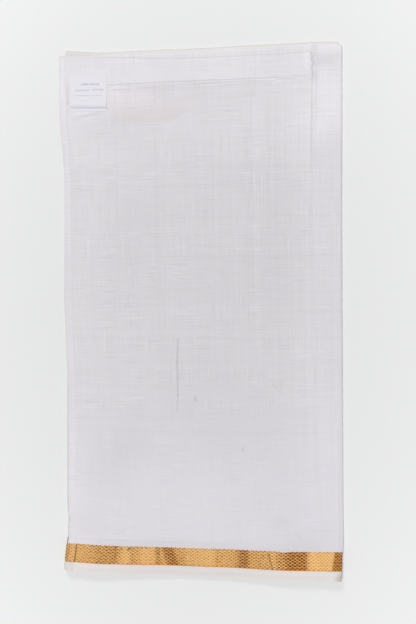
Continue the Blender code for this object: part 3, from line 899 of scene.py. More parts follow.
class Wiring:
    """Adds nodes to one tree and joins them."""

    def __init__(self, tree: bpy.types.NodeTree) -> None:
        """Args: tree, the node tree to build in."""
        self.tree = tree

    def node(self, kind: str, inputs: Optional[dict] = None, **settings: object) -> Node:
        """One node with its settings made and its inputs fed.

        Args:
            kind: The node's type.
            inputs: For each input's name or number, a socket to join or a value to set.
            settings: The node's own properties.

        Returns:
            The node.
        """
        made = self.tree.nodes.new(kind)
        for name, value in settings.items():
            setattr(made, name, value)
        self.fill(made, inputs or {})
        return made

    def fill(self, node: Node, inputs: dict) -> None:
        """Feeds several inputs of a node, by name or number."""
        for key, value in inputs.items():
            self.feed(node.inputs[key], value)

    def feed(self, socket: Socket, value: Wire) -> None:
        """Joins a socket to an output, or sets its value."""
        if isinstance(value, Socket):
            self.tree.links.new(value, socket)
        else:
            socket.default_value = value

    def math(self, operation: str, *values: Wire, clamp: bool = False) -> Socket:
        """A Math node's result."""
        inputs = dict(enumerate(values))
        return self.node("ShaderNodeMath", inputs, operation=operation, use_clamp=clamp).outputs[0]

    def less(self, value: Wire, taken: Wire) -> Socket:
        """A difference."""
        return self.math("SUBTRACT", value, taken)

    def linear(self, value: Wire, factor: Wire, start: Wire) -> Socket:
        """A value times a factor, from start."""
        return self.math("MULTIPLY_ADD", value, factor, start)

    def apart(self, value: Wire, centre: Wire) -> Socket:
        """How far a value is from a centre."""
        return self.math("ABSOLUTE", self.less(value, centre))

    def wave(self, value: Wire, pitch: float) -> Socket:
        """A sine wave of a given length."""
        return self.math("SINE", self.times(value, 2 * pi / pitch))

    def total(self, *values: Wire) -> Socket:
        """The sum of several values."""
        result = values[0]
        for value in values[1:]:
            result = self.math("ADD", result, value)
        return result

    def gathered(self, values: Iterable[Wire]) -> Wire:
        """The sum of values that are made one by one."""
        result: Wire = 0
        for value in values:
            result = self.math("ADD", result, value)
        return result

    def times(self, *values: Wire) -> Socket:
        """The product of several values."""
        result = values[0]
        for value in values[1:]:
            result = self.math("MULTIPLY", result, value)
        return result

    def vector(self, operation: str, *values: Wire) -> Node:
        """A Vector Math node."""
        return self.node("ShaderNodeVectorMath", dict(enumerate(values)), operation=operation)

    def parts(self, vector: Wire) -> tuple:
        """A vector's three parts."""
        made = self.node("ShaderNodeSeparateXYZ", {0: vector})
        return made.outputs[0], made.outputs[1], made.outputs[2]

    def joined(self, x: Wire, y: Wire, z: Wire = 0) -> Socket:
        """A vector from its parts."""
        return self.node("ShaderNodeCombineXYZ", {0: x, 1: y, 2: z}).outputs[0]

    def smooth(self, value: Wire, low: Wire, high: Wire, start: Wire = 0, end: Wire = 1) -> Socket:
        """An S-shaped change from start to end as value goes from low to high."""
        names = {"Value": value, "From Min": low, "From Max": high, "To Min": start, "To Max": end}
        return self.node("ShaderNodeMapRange", names, interpolation_type="SMOOTHSTEP", clamp=False).outputs[0]

    def mixed(self, share: Wire, low: Wire, high: Wire) -> Socket:
        """A colour between two, by share."""
        made = self.node("ShaderNodeMix", {0: share, 6: low, 7: high}, data_type="RGBA")
        return made.outputs[2]

    def scaled(self, base: Wire, factor: Wire) -> Socket:
        """A colour or vector, with each part times a factor."""
        start = base[:3] if isinstance(base, tuple) else base
        return self.node("ShaderNodeVectorMath", {0: start, 3: factor}, operation="SCALE").outputs[0]

    def noise(self, place: Wire, scale: float, detail: float = 2, roughness: float = 0.5) -> Socket:
        """A noise texture's value."""
        names = {"Vector": place, "Scale": scale, "Detail": detail, "Roughness": roughness}
        return self.node("ShaderNodeTexNoise", names, noise_dimensions="3D").outputs[0]

    def stretched(self, vector: Wire, factors: tuple[float, float, float]) -> Socket:
        """A vector, with each part times its own factor."""
        return self.vector("MULTIPLY", vector, factors).outputs[0]

    def streaks(self, place: Wire, factors: tuple[float, float, float], detail: float) -> Socket:
        """Noise that is drawn out where the factors are small."""
        return self.noise(self.stretched(place, factors), 1, detail)

    def place(self) -> Socket:
        """The place in space, in metres."""
        return self.node("ShaderNodeTexCoord").outputs["Object"]

    def attribute(self, name: str) -> Socket:
        """A vector kept at the piece's points."""
        return self.node("ShaderNodeAttribute", attribute_name=name).outputs["Vector"]

    def bump(self, height: Wire, distance: float, strength: float) -> Socket:
        """A normal tilted by a height in metres times distance."""
        names = {"Height": height, "Distance": distance, "Strength": strength}
        return self.node("ShaderNodeBump", names).outputs[0]

    def line(self, value: Wire, centre: Wire, width: float, core: float = 0, strength: float = 1) -> Socket:
        """A line where value meets centre: its strength up to core away, and 0 from width away."""
        return self.smooth(self.apart(value, centre), core, width, strength, 0)


class Effect:
    """A shared node group: built once, and placed in each material with its own values."""

    def __init__(self, name: str, takes: dict, gives: Sequence[str]) -> None:
        """Makes the empty group.

        Args:
            name: The group's name.
            takes: Each input's name and usual value, a number or a vector.
            gives: The names of its outputs, all of them numbers.
        """
        self.tree = bpy.data.node_groups.new(name, "ShaderNodeTree")
        for title, value in takes.items():
            kind = "NodeSocketVector" if isinstance(value, tuple) else "NodeSocketFloat"
            self.tree.interface.new_socket(title, in_out="INPUT", socket_type=kind).default_value = value
        for title in gives:
            self.tree.interface.new_socket(title, in_out="OUTPUT", socket_type="NodeSocketFloat")
        self.wiring = Wiring(self.tree)
        self.start = self.tree.nodes.new("NodeGroupInput")
        self.end = self.tree.nodes.new("NodeGroupOutput")

    def taken(self, name: str) -> Socket:
        """One of the group's inputs, seen from inside."""
        return self.start.outputs[name]

    def give(self, name: str, value: Wire) -> None:
        """Feeds one of the group's outputs."""
        self.wiring.feed(self.end.inputs[name], value)

    def placed(self, wiring: Wiring, **values: Wire) -> bpy.types.NodeOutputs:
        """Places the group in a material, with its own values."""
        return wiring.node("ShaderNodeGroup", values, node_tree=self.tree).outputs


def plain_weave() -> Effect:
    """Threads that pass over and under each other.

    In words: on a checkerboard of cells as wide as a thread, a warp thread stands up as half a sine in every
    other cell, and a weft thread in the rest. Slow noise makes the threads uneven.
    """
    effect = Effect("plain weave", {"Cloth": ORIGIN, "Pitch": 0.0005}, ("Height",))
    w = effect.wiring
    scaled = w.vector("SCALE", effect.taken("Cloth"))
    w.feed(scaled.inputs[3], w.math("DIVIDE", pi, effect.taken("Pitch")))
    u, v, _ = w.parts(scaled.outputs[0])
    warp_wave, weft_wave = w.math("SINE", u), w.math("SINE", v)
    product = w.math("MULTIPLY", warp_wave, weft_wave)
    over = w.smooth(product, -0.25, 0.25)
    warp_height, weft_height = w.math("ABSOLUTE", warp_wave), w.math("ABSOLUTE", weft_wave)
    difference = w.less(warp_height, weft_height)
    height = w.linear(difference, over, weft_height)
    stretched = w.stretched(effect.taken("Cloth"), (1, 0.25, 1))
    uneven = w.noise(stretched, 900, 2, 0.6)
    effect.give("Height", w.math("MULTIPLY", height, w.math("ADD", uneven, 0.5)))
    return effect


def slubs() -> Effect:
    """Thick and thin yarns of handloom cloth: short light and dark streaks along both yarns.

    In words: the highest and lowest parts of noise stretched along the yarn, once along the weft and once
    along the warp, each kept to patches by a slower noise. Bars are far longer and wider, and 0 on average.
    """
    effect = Effect("handloom slubs", {"Cloth": ORIGIN}, ("Light", "Dark", "Height", "Bars"))
    w = effect.wiring
    cloth = effect.taken("Cloth")
    warps = w.streaks(cloth, (170, 1.5, 0), 2)
    wefts = w.streaks(cloth, (3, 210, 0), 2)
    effect.give("Bars", w.total(warps, wefts, -1))
    light, dark, height = [], [], []
    for stretch, offset, share in (((34, 560, 0), 3.7, 1), ((560, 26, 0), 8.2, 0.75)):
        place = w.vector("MULTIPLY", cloth, stretch).outputs[0]
        moved = w.vector("ADD", place, (offset, offset, 0)).outputs[0]
        streak = w.noise(moved, 1, 1, 0.5)
        where = w.noise(w.vector("ADD", cloth, (offset, 0, 0)).outputs[0], 26, 1, 0.5)
        patchy = w.smooth(where, 0.34, 0.62, 0.12 * share, share)
        light.append(w.times(w.smooth(streak, 0.55, 0.74), patchy))
        dark.append(w.times(w.smooth(streak, 0.45, 0.27), patchy))
        height.append(streak)
    effect.give("Light", w.total(*light))
    effect.give("Dark", w.total(*dark))
    effect.give("Height", w.total(*height))
    return effect


def stroke() -> Effect:
    """A soft line between two points: 1 on the line, falling to 0 at its width and over its last tenth."""
    takes = {"Position": ORIGIN, "Start": ORIGIN, "End": (1, 0, 0), "Width": 0.001}
    effect = Effect("stroke", takes, ("Mask",))
    w = effect.wiring
    flat = w.stretched(effect.taken("Position"), (1, 1, 0))
    run = w.vector("SUBTRACT", effect.taken("End"), effect.taken("Start")).outputs[0]
    gone = w.vector("SUBTRACT", flat, effect.taken("Start")).outputs[0]
    reach = w.vector("DOT_PRODUCT", gone, run).outputs["Value"]
    length = w.vector("DOT_PRODUCT", run, run).outputs["Value"]
    share = w.math("MINIMUM", w.math("MAXIMUM", w.math("DIVIDE", reach, length), 0), 1)
    along = w.vector("SCALE", run)
    w.feed(along.inputs[3], share)
    distance = w.vector("DISTANCE", gone, along.outputs[0]).outputs["Value"]
    across = w.smooth(w.math("DIVIDE", distance, effect.taken("Width")), 0, 1, 1, 0)
    ends = w.times(w.smooth(share, 0, 0.12), w.smooth(share, 1, 0.88))
    effect.give("Mask", w.times(across, ends))
    return effect


def soft_patch() -> Effect:
    """A round or oval patch: 1 in its middle, falling to 0 at its rim, which noise makes uneven."""
    places = {"Position": ORIGIN, "Centre": ORIGIN, "Reach": (0.01, 0.01, 1)}
    effect = Effect("soft patch", {**places, "Softness": 0.5, "Raggedness": 0.2}, ("Mask",))
    w = effect.wiring
    flat = w.stretched(effect.taken("Position"), (1, 1, 0))
    away = w.vector("SUBTRACT", flat, effect.taken("Centre")).outputs[0]
    share = w.vector("LENGTH", w.vector("DIVIDE", away, effect.taken("Reach")).outputs[0]).outputs["Value"]
    ragged = w.math("MULTIPLY", w.less(w.noise(flat, 60, 2), 0.5), effect.taken("Raggedness"))
    inner = w.less(1, effect.taken("Softness"))
    effect.give("Mask", w.smooth(w.math("ADD", share, ragged), inner, 1, 1, 0))
    return effect


def zari_lozenges() -> Effect:
    """The border's woven lattice.

    In words: a wave across times a wave up makes a checkerboard of lozenges. Dots are the middles of every
    other one, and pale floats those of the rest, joined into waves. Ribs are the gold threads.
    """
    takes = {"Cloth": ORIGIN, "Column": 0.0053, "Row": 0.0036}
    effect = Effect("zari lozenges", takes, ("Dots", "Floats", "Ribs"))
    w = effect.wiring
    u, v, _ = w.parts(effect.taken("Cloth"))
    uneven = w.linear(w.noise(effect.taken("Cloth"), 300, 1), 1.1, -0.55)
    across = w.math("COSINE", w.times(w.math("DIVIDE", u, effect.taken("Column")), 2 * pi))
    along = w.math("COSINE", w.times(w.math("DIVIDE", v, effect.taken("Row")), 2 * pi))
    board = w.total(w.times(across, along), uneven)
    effect.give("Dots", w.smooth(board, 0.1, 0.65))
    bent = w.linear(across, 1.5, w.times(w.math("DIVIDE", v, effect.taken("Row")), 4 * pi))
    waves = w.linear(w.math("COSINE", bent), 0.6, w.times(board, 0.55))
    effect.give("Floats", w.smooth(waves, -0.1, -0.7))
    ribs = w.wave(v, 0.6 * MM)
    effect.give("Ribs", w.linear(ribs, 0.5, 0.5))
    return effect


class Effects:
    """The shared node groups, each made once."""

    def __init__(self) -> None:
        """Builds every group."""
        self.weave = plain_weave()
        self.slubs = slubs()
        self.stroke = stroke()
        self.patch = soft_patch()
        self.lozenges = zari_lozenges()


# ---- Finishes


def new_material(name: str) -> tuple[Material, Wiring, Node]:
    """A material with an empty Principled shader, and what adds nodes to it."""
    material = bpy.data.materials.new(name)
    material.use_nodes = True
    tree = material.node_tree
    return material, Wiring(tree), tree.nodes["Principled BSDF"]


def finish(w: Wiring, shader: Node, base: Wire, rise: Wire, depth: float, tilt: float, **others: Wire) -> None:
    """Feeds a shader.

    Args:
        w: The material's wiring.
        shader: The shader.
        base: Its colour.
        rise: How high each point stands.
        depth: What the rise is multiplied by to give metres.
        tilt: How strongly it tilts the surface.
        others: Its other inputs, with an underscore for a space.
    """
    w.fill(shader, {"Base Color": base, **{name.replace("_", " "): value for name, value in others.items()}})
    w.feed(shader.inputs["Normal"], w.bump(rise, depth, tilt))


YARN_TILT = 0.6  # how strongly yarns tilt a surface


class Mark(NamedTuple):
    """A patch on the top layer, in millimetres, and how much darker its middle is."""

    x: float
    y: float
    reach_x: float
    reach_y: float
    shade: float
    softness: float = 0.8

    def mask(self, w: Wiring, effects: Effects, position: Wire, raggedness: float) -> Wire:
        """1 in the patch's middle and 0 outside it."""
        centre, reach = (self.x * MM, self.y * MM, 0), (self.reach_x * MM, self.reach_y * MM, 1)
        made = effects.patch.placed(
            w, Position=position, Centre=centre, Reach=reach, Softness=self.softness, Raggedness=raggedness
        )
        return made["Mask"]


# Stains and soft patches; those at (-112.5, 247.5), (-162, 256), (137.5, 280) and (151, 297.5) are painted
# shade
SPOTS_AND_SHADE = rows_of(
    Mark,
    (-4.4, -104.8, 3.7, 6.2, 0.155, 0.9), (52.8, -164, 3.2, 4.4, 0.105, 0.9), (45, -181.5, 6, 3, 0.03),
    (97.7, -252, 20, 12, 0.02, 0.9), (-82, -165, 48, 34, 0.03, 0.9), (135, 0, 30, 6, 0.03, 0.9),
    (-112.5, 247.5, 3.2, 4, 0.07, 0.9), (137.5, 280, 5, 9, 0.07, 0.95),
    (151, 297.5, 17, 6.5, 0.05, 0.6), (-162, 256, 2.6, 5.5, 0.1, 0.9),
)


class Yarn(NamedTuple):
    """A long uneven yarn up the top layer: its place across and its ends, in millimetres, and its shade."""

    place: float
    low: float
    high: float
    shade: float
    width: float


YARNS = rows_of(
    Yarn,
    (66, 300, 520, 0.014, 1.8), (97.4, 220, 400, -0.014, 1.8), (114, 330, 560, 0.014, 2),
    (123, 330, 560, 0.012, 1.2), (126.6, 240, 560, -0.036, 1.3), (130, 240, 560, -0.018, 2.6),
    (155.6, 240, 360, 0.014, 1.8), (169.4, 380, 560, -0.014, 2), (182.6, 380, 560, 0.014, 1.2),
    (192.2, 380, 560, 0.018, 1.2), (198.8, 380, 560, -0.014, 1.2), (207.2, 380, 560, -0.016, 2.4),
    (224.6, 250, 600, 0.02, 1.4), (229.2, 330, 600, 0.026, 0.9), (232.6, 250, 600, -0.036, 1.3),
    (235.8, 250, 600, -0.018, 2.5), (249.2, 300, 600, 0.016, 2.5), (257.6, 300, 600, 0.014, 2.5),
    (269, 300, 600, 0.02, 1.4), (272.6, 250, 590, -0.018, 0.9), (282.6, 250, 590, -0.018, 1.2),
    (288.8, 300, 590, -0.014, 1.2), (294.8, 250, 590, -0.016, 1.6),
)

# Uneven picks across the top layer: how far from the selvedge, in millimetres, and their shade
PICKS = (
    (173, 0.022), (228, 0.018), (285, 0.026), (293, -0.014), (340, 0.022), (367, -0.012),
    (384, 0.02), (397.6, 0.016), (414.5, -0.02), (430.5, 0.022), (461, 0.01), (475, -0.014),
    (490, 0.014), (506.5, -0.01),
)


def crease_shading(w: Wiring, effects: Effects, creases: Iterable[Crease]) -> Wire:
    """The painted shade and highlight along pressed lines."""
    position = w.place()

    def shaded(crease: Crease) -> Wire:
        """One line's painted shade, a highlight where its shade is below 0."""
        start, end = (crease.x1 * MM, crease.y1 * MM, 0), (crease.x2 * MM, crease.y2 * MM, 0)
        width = 1.6 * crease.line_width * MM
        line = effects.stroke.placed(w, Position=position, Start=start, End=end, Width=width)
        return w.times(line["Mask"], crease.shade)

    return w.gathered(shaded(crease) for crease in creases)


@dataclass(frozen=True)
class Cotton:
    """Sheer white handloom cotton: a fine weave with slubs, washed with broad, faint changes of tone."""

    name: str = "white handloom cotton"
    base: Colour = colour(215.8, 213.5, 216.4)
    cool: Colour = colour(215.7, 213.5, 219.2)
    pink: Colour = colour(222, 212.5, 214.5)
    cream: Colour = colour(226, 221, 214)
    light_slub: float = 0.05
    dark_slub: float = 0.05
    roughness: float = 0.88
    sheen: float = 0.08
    sheen_roughness: float = 0.6
    weave_pitch: float = 0.42 * MM
    yarn_relief: float = 0.06 * MM

    def washed(self, w: Wiring, effects: Effects, cloth: Wire) -> tuple[Wire, Wire]:
        """The cloth's colour with its slubs, and the height of its yarns.

        Args:
            w: The material's wiring.
            effects: The shared groups.
            cloth: The place on the flat cloth.

        Returns:
            A colour and a height from about 0 to 2.
        """
        tone, cool, pink = w.parts(w.attribute("wash"))
        hue = w.smooth(w.noise(cloth, 60, 2), 0.3, 0.7, -0.1, 0.55)
        base = w.mixed(w.math("ADD", cool, hue, clamp=True), self.base, self.cool)
        base = w.mixed(pink, base, self.pink)
        yarns = effects.slubs.placed(w, Cloth=cloth)
        uneven = w.linear(cool, -0.8, 1.4)
        light = w.times(yarns["Light"], uneven, self.light_slub)
        dark = w.times(yarns["Dark"], uneven, -self.dark_slub)
        cloudy = w.linear(w.noise(cloth, 22, 3, 0.6), 0.04, -0.02)
        bars = w.times(yarns["Bars"], uneven, 0.045)
        factor = w.math("MULTIPLY", tone, w.total(1, light, dark, cloudy, bars))
        weave = effects.weave.placed(w, Cloth=cloth, Pitch=self.weave_pitch)
        height = w.linear(yarns["Height"], 0.5, weave["Height"])
        return w.scaled(base, factor), height

    def finish(self, w: Wiring, shader: Node, base: Wire, height: Wire) -> None:
        """Feeds the shader with the colour, a rough surface and the yarns' relief."""
        sheen = {"Sheen_Weight": self.sheen, "Sheen_Roughness": self.sheen_roughness}
        finish(w, shader, base, height, self.yarn_relief, YARN_TILT, Roughness=self.roughness, **sheen)

    def plain(self, effects: Effects) -> Material:
        """The cotton alone, as on the hem."""
        material, w, shader = new_material(self.name)
        base, height = self.washed(w, effects, w.attribute("cloth"))
        # Painted shade along a nick in the hem
        base = w.scaled(base, w.less(1, crease_shading(w, effects, HEM_CREASES)))
        self.finish(w, shader, base, height)
        return material


@dataclass(frozen=True)
class GroundCotton(Cotton):
    """The top layer's ground: the cotton with what shows through it and what is pressed into it."""

    name: str = "ground cotton"
    packet: Packet = Packet()

    def material(self, effects: Effects) -> Material:
        """The ground's material."""
        material, w, shader = new_material(self.name)
        cloth = w.attribute("cloth")
        position = w.place()
        base, height = self.washed(w, effects, cloth)
        low = -self.packet.length / 2 + self.packet.border_top
        creases = [crease for crease in CREASES if crease.y1 * MM >= low and crease.y1 > CREASED_GOLD_TOP]
        # Painted shade and highlight along creases and pressed lines, with stains, yarns and ticks, darken the
        # base
        shade = w.total(crease_shading(w, effects, creases), self.spots(w, effects, position))
        shade = w.total(shade, self.pressed_lines(w, cloth), self.slub_lines(w, cloth))
        shade = w.total(shade, self.ticks(w, cloth))
        base = w.scaled(base, w.less(1, shade))
        base = w.mixed(self.cream_lines(w, cloth), base, self.cream)
        self.finish(w, shader, base, height)
        return material

    def spots(self, w: Wiring, effects: Effects, position: Wire) -> Wire:
        """The darkness of small stains, of what the layers below cast through, and painted shade by label, hem
        and folds.
        """

        def shaded(spot: Mark) -> Wire:
            """One spot's darkness."""
            return w.times(spot.mask(w, effects, position, 0.5), spot.shade)

        return w.gathered(shaded(spot) for spot in SPOTS_AND_SHADE)

    def pressed_lines(self, w: Wiring, cloth: Wire) -> Wire:
        """The painted shade and highlight along the tuck, the inner panel's end and the nested fold near the
        right edge.
        """
        across, along, _ = w.parts(cloth)
        packet = self.packet
        tucked = w.times(w.smooth(across, 266 * MM, 258 * MM), w.smooth(across, 52 * MM, 60 * MM))
        uneven = w.smooth(w.noise(cloth, 30, 1), 0.3, 0.6, 0.7, 1)
        first = w.times(w.line(along, packet.tuck_line - 0.2 * MM, 1 * MM), tucked, uneven, 0.14)
        bright = w.smooth(across, 200 * MM, 240 * MM, -0.08, -0.15)
        between = w.times(w.line(along, packet.tuck_line - 1.7 * MM, 0.9 * MM), tucked, bright)
        high = w.smooth(along, 450 * MM, 540 * MM, 0, 1)
        end = w.times(w.line(across, packet.inner_fold_line - 0.2 * MM, 1.5 * MM), high, 0.03)
        end = w.times(end, w.smooth(along, 60 * MM, 110 * MM), w.smooth(along, 612 * MM, 600 * MM))
        beyond = w.times(w.line(across, packet.inner_fold_line + 2.6 * MM, 6.5 * MM), high, 0.045)
        before = w.times(w.line(across, packet.inner_fold_line - 3.4 * MM, 2.2 * MM), high, -0.01)
        nested = w.times(w.line(across, packet.width - 5.9 * MM, 0.8 * MM), 0.05)
        crown = w.times(w.line(across, packet.width - 4.4 * MM, 0.9 * MM), -0.02)
        return w.total(first, between, end, beyond, before, nested, crown)

    def ticks(self, w: Wiring, cloth: Wire) -> Wire:
        """The darkness of the patchy warps just above the border."""
        across, along, _ = w.parts(cloth)
        low = self.packet.border_top
        near = w.smooth(along, low + 6.5 * MM, low + 2 * MM)
        patchy = w.smooth(w.noise(cloth, 55, 1), 0.35, 0.6)
        return w.times(w.wave(across, 1.95 * MM), near, patchy, 0.03)

    def slub_lines(self, w: Wiring, cloth: Wire) -> Wire:
        """A few long yarns up the cloth and right across it: less than 0 for light ones."""
        across, along, _ = w.parts(cloth)

        def upright(yarn: Yarn) -> Wire:
            """The darkness of one yarn that runs up the cloth."""
            start = w.smooth(along, yarn.low * MM, (yarn.low + 40) * MM)
            end = w.smooth(along, yarn.high * MM, (yarn.high - 40) * MM)
            return w.times(w.line(across, yarn.place * MM, 1.4 * yarn.width * MM), start, end, yarn.shade)

        level = w.gathered(w.times(w.line(along, place * MM, 2 * MM), shade) for place, shade in PICKS)
        return w.math("ADD", level, w.gathered(upright(yarn) for yarn in YARNS))

    def cream_lines(self, w: Wiring, cloth: Wire) -> Wire:
        """How cream the cloth looks: along the inner panel's upper fold and beside the end hem's top."""
        across, along, _ = w.parts(cloth)
        packet = self.packet
        reach = w.smooth(across, packet.inner_fold_line - 1 * MM, packet.inner_fold_line - 4 * MM)
        fading = w.smooth(across, 30 * MM, 200 * MM, 0.18, 0.75)
        top = w.times(w.line(along, packet.inner_top + 1 * MM, 2 * MM), reach, fading)
        beside = w.smooth(across, 9 * MM, 2 * MM)
        corner = w.times(beside, w.smooth(along, packet.length - 13 * MM, packet.length - 9 * MM))
        return w.math("MAXIMUM", top, w.times(corner, 0.7))


@dataclass(frozen=True)
class LayeredCotton(Cotton):
    """The layers below: the same cloth, with its border and selvedges woven in along both long sides."""

    name: str = "layered cotton"
    base: Colour = colour(219, 217, 219)
    edge: Colour = colour(222, 221, 213.5)
    # A painted highlight on the crest of each layer's upper fold
    crown: Colour = colour(234, 232.5, 226.5)
    peeping: Colour = colour(165, 90, 36)
    packet: Packet = Packet()

    def material(self, effects: Effects, zari: "Zari", ivory: "Ivory") -> Material:
        """The layers' material: gold, ivory or ground by the distance from the nearer selvedge."""
        material, w, shader = new_material(self.name)
        cloth = w.attribute("cloth")
        _, along, from_selvedge = w.parts(cloth)
        base, height = self.washed(w, effects, cloth)
        middle = self.packet.loom_width / 2
        fold = w.line(along, middle, 7 * MM, 1 * MM, 0.8)
        base = w.mixed(fold, base, self.edge)
        # Painted highlight on the crest of each upper fold
        crown = w.line(along, middle, 1.8 * MM, 0.4 * MM, 0.7)
        base = w.mixed(crown, base, self.crown)
        # The layers' gold gets an even painted sheen
        gold, gold_height, gold_share = zari.woven(w, effects, cloth, 0.45)
        ivory_base, ivory_height = ivory.woven(w, effects, cloth)
        selvedge = w.smooth(from_selvedge, self.packet.selvedge_width + 0.2 * MM, self.packet.selvedge_width)
        base = w.mixed(selvedge, base, ivory_base)
        base = w.mixed(gold_share, base, gold)
        x, y, _ = w.parts(w.place())
        beside = w.smooth(x, -159.2 * MM, -160 * MM)
        strip = w.times(beside, w.smooth(y, -282.4 * MM, -281.6 * MM), w.smooth(y, -274.6 * MM, -275.6 * MM))
        base = w.mixed(w.times(strip, 0.8), base, self.peeping)
        height = w.linear(gold_share, gold_height, w.times(height, w.less(1, gold_share)))
        self.finish(w, shader, base, w.linear(selvedge, ivory_height, height))
        roughness = w.smooth(gold_share, 0, 1, self.roughness, zari.roughness)
        w.fill(shader, {"Roughness": roughness, "Metallic": w.times(gold_share, zari.metallic)})
        return material


# At places across the border, in millimetres, its painted sheen: how brightly its threads catch the light,
# from 0 to 1
SHEEN = (
    (-165, 0.6), (-129, 0.55), (-123, 0.42), (-110, 0.26), (-101.5, 0.2), (-97, 0.5),
    (-91, 0.85), (-86, 0.8), (-82, 0.45), (-71, 0.5), (-68, 0.75), (-55, 0.7),
    (-51, 0.3), (-45, 0.6), (-39, 0.15), (-35.5, 0.02), (-30, 0.02), (-27, 0.35),
    (-18, 0.45), (-13.5, 0.75), (18, 0.75), (21.5, 0.4), (29, 0.62), (37, 0.58),
    (45.5, 0.36), (50.5, 0.06), (56, 0.02), (61.5, 0.4), (67, 0.48), (81, 0.5),
    (91, 0.45), (94.5, 0.3), (103, 0.25), (109.5, 0.02), (126.5, 0), (131, 0.5),
    (135.5, 1), (158, 1), (161, 0), (170, 0),
)
# How far, in millimetres from the border's top to its foot, the same leans to the right
SHEEN_LEAN = (
    (-125, 0), (-118, -3), (-98, -3), (-92, 0), (-52, 0), (-45, 7), (-22, 7),
    (-14, 0), (150, 0), (158, -3.6), (170, -3.6),
)


@dataclass(frozen=True)
class Zari:
    """Gold thread woven in lozenges."""

    name: str = "zari weave"
    bright: Colour = colour(219, 172, 111)
    middle: Colour = colour(207, 158, 96)
    dull: Colour = colour(158, 99, 34)
    dot: Colour = colour(84, 34, 2)
    seam: Colour = colour(110, 45, 5)
    pale: Colour = colour(238, 196, 134)
    orange: Colour = colour(201, 124, 50)
    white: Colour = colour(226, 219, 222)
    metallic: float = 0.3
    roughness: float = 0.6
    cotton_roughness: float = 0.8
    gloss: float = 0.06
    thread_relief: float = 0.1 * MM
    packet: Packet = Packet()

    def woven(self, w: Wiring, effects: Effects, cloth: Wire, glow: Wire) -> tuple[Wire, Wire, Wire]:
        """The border's colour, its height and where it is.

        Args:
            w: The material's wiring.
            effects: The shared groups.
            cloth: The place on the flat cloth.
            glow: How brightly the threads catch the light, as painted sheen.

        Returns:
            A colour, a height and a share, 1 on the gold and 0 off it.
        """
        s, _, from_selvedge = w.parts(cloth)
        place = w.joined(s, w.less(from_selvedge, self.packet.selvedge_width + 1.6 * MM))
        lattice = effects.lozenges.placed(w, Cloth=place)
        broken = w.noise(cloth, 420, 2, 0.7)
        glow = w.math("ADD", glow, w.linear(broken, 0.9, -0.45))
        base = w.mixed(w.smooth(glow, 0, 0.6), self.dull, self.middle)
        base = w.mixed(w.smooth(glow, 0.5, 1), base, self.bright)
        base = w.mixed(w.times(lattice["Floats"], w.smooth(glow, 0, 0.8, 0.6, 1)), base, self.pale)
        base = w.mixed(w.times(lattice["Dots"], w.smooth(glow, 0, 0.8, 1, 0.33)), base, self.dot)
        thread = w.streaks(cloth, (260, 1500, 1), 1)
        base = w.scaled(base, w.linear(thread, 0.5, 0.75))
        low = self.packet.selvedge_width
        edge = w.times(w.smooth(from_selvedge, low + 1.3 * MM, low + 0.9 * MM), 0.75)
        base = w.mixed(edge, base, self.orange)
        # A darker line on the gold just beside the hem's edge
        beside_hem = w.line(s, 10.7 * MM, 1.15 * MM, 0.3 * MM, 0.6)
        base = w.mixed(beside_hem, base, self.seam)
        tooth = w.times(w.math("PINGPONG", s, 1.25 * MM), 0.9 / 1.25)
        dip = w.line(s, 258 * MM, 9 * MM, 1 * MM, 0.8 * MM)
        top = w.less(w.less(self.packet.border_top, tooth), dip)
        share = w.smooth(from_selvedge, top, w.less(top, 0.2 * MM))
        rim = w.smooth(from_selvedge, w.less(top, 1.9 * MM), w.less(top, 0.5 * MM))
        pulled = w.smooth(w.streaks(cloth, (420, 60, 1), 1), 0.5, 0.7)
        base = w.mixed(w.times(rim, pulled, 0.75), base, self.dot)
        share = w.times(w.smooth(from_selvedge, low, low + 0.15 * MM), share)
        relief = (("Floats", 0.8), ("Ribs", 0.35), ("Dots", -0.9))
        return base, w.total(*[w.times(lattice[name], height) for name, height in relief]), share

    def material(self, effects: Effects) -> Material:
        """The border's own material, whose painted sheen follows the wash."""
        material, w, shader = new_material(self.name)
        glow, _, _ = w.parts(w.attribute("wash"))
        base, height, share = self.woven(w, effects, w.attribute("cloth"), glow)
        base = w.mixed(share, self.white, base)
        # Painted shade and highlight along the slit and puckers in the gold and along its turned edge
        creases = [crease for crease in CREASES if crease.y1 < CREASED_GOLD_TOP]
        base = w.scaled(base, w.less(1, crease_shading(w, effects, creases)))
        metallic = w.times(share, self.metallic)
        roughness = w.smooth(share, 0, 1, self.cotton_roughness, self.roughness)
        surface = {"Metallic": metallic, "Roughness": roughness, "Specular_IOR_Level": self.gloss}
        finish(w, shader, base, height, self.thread_relief, YARN_TILT, **surface)
        return material


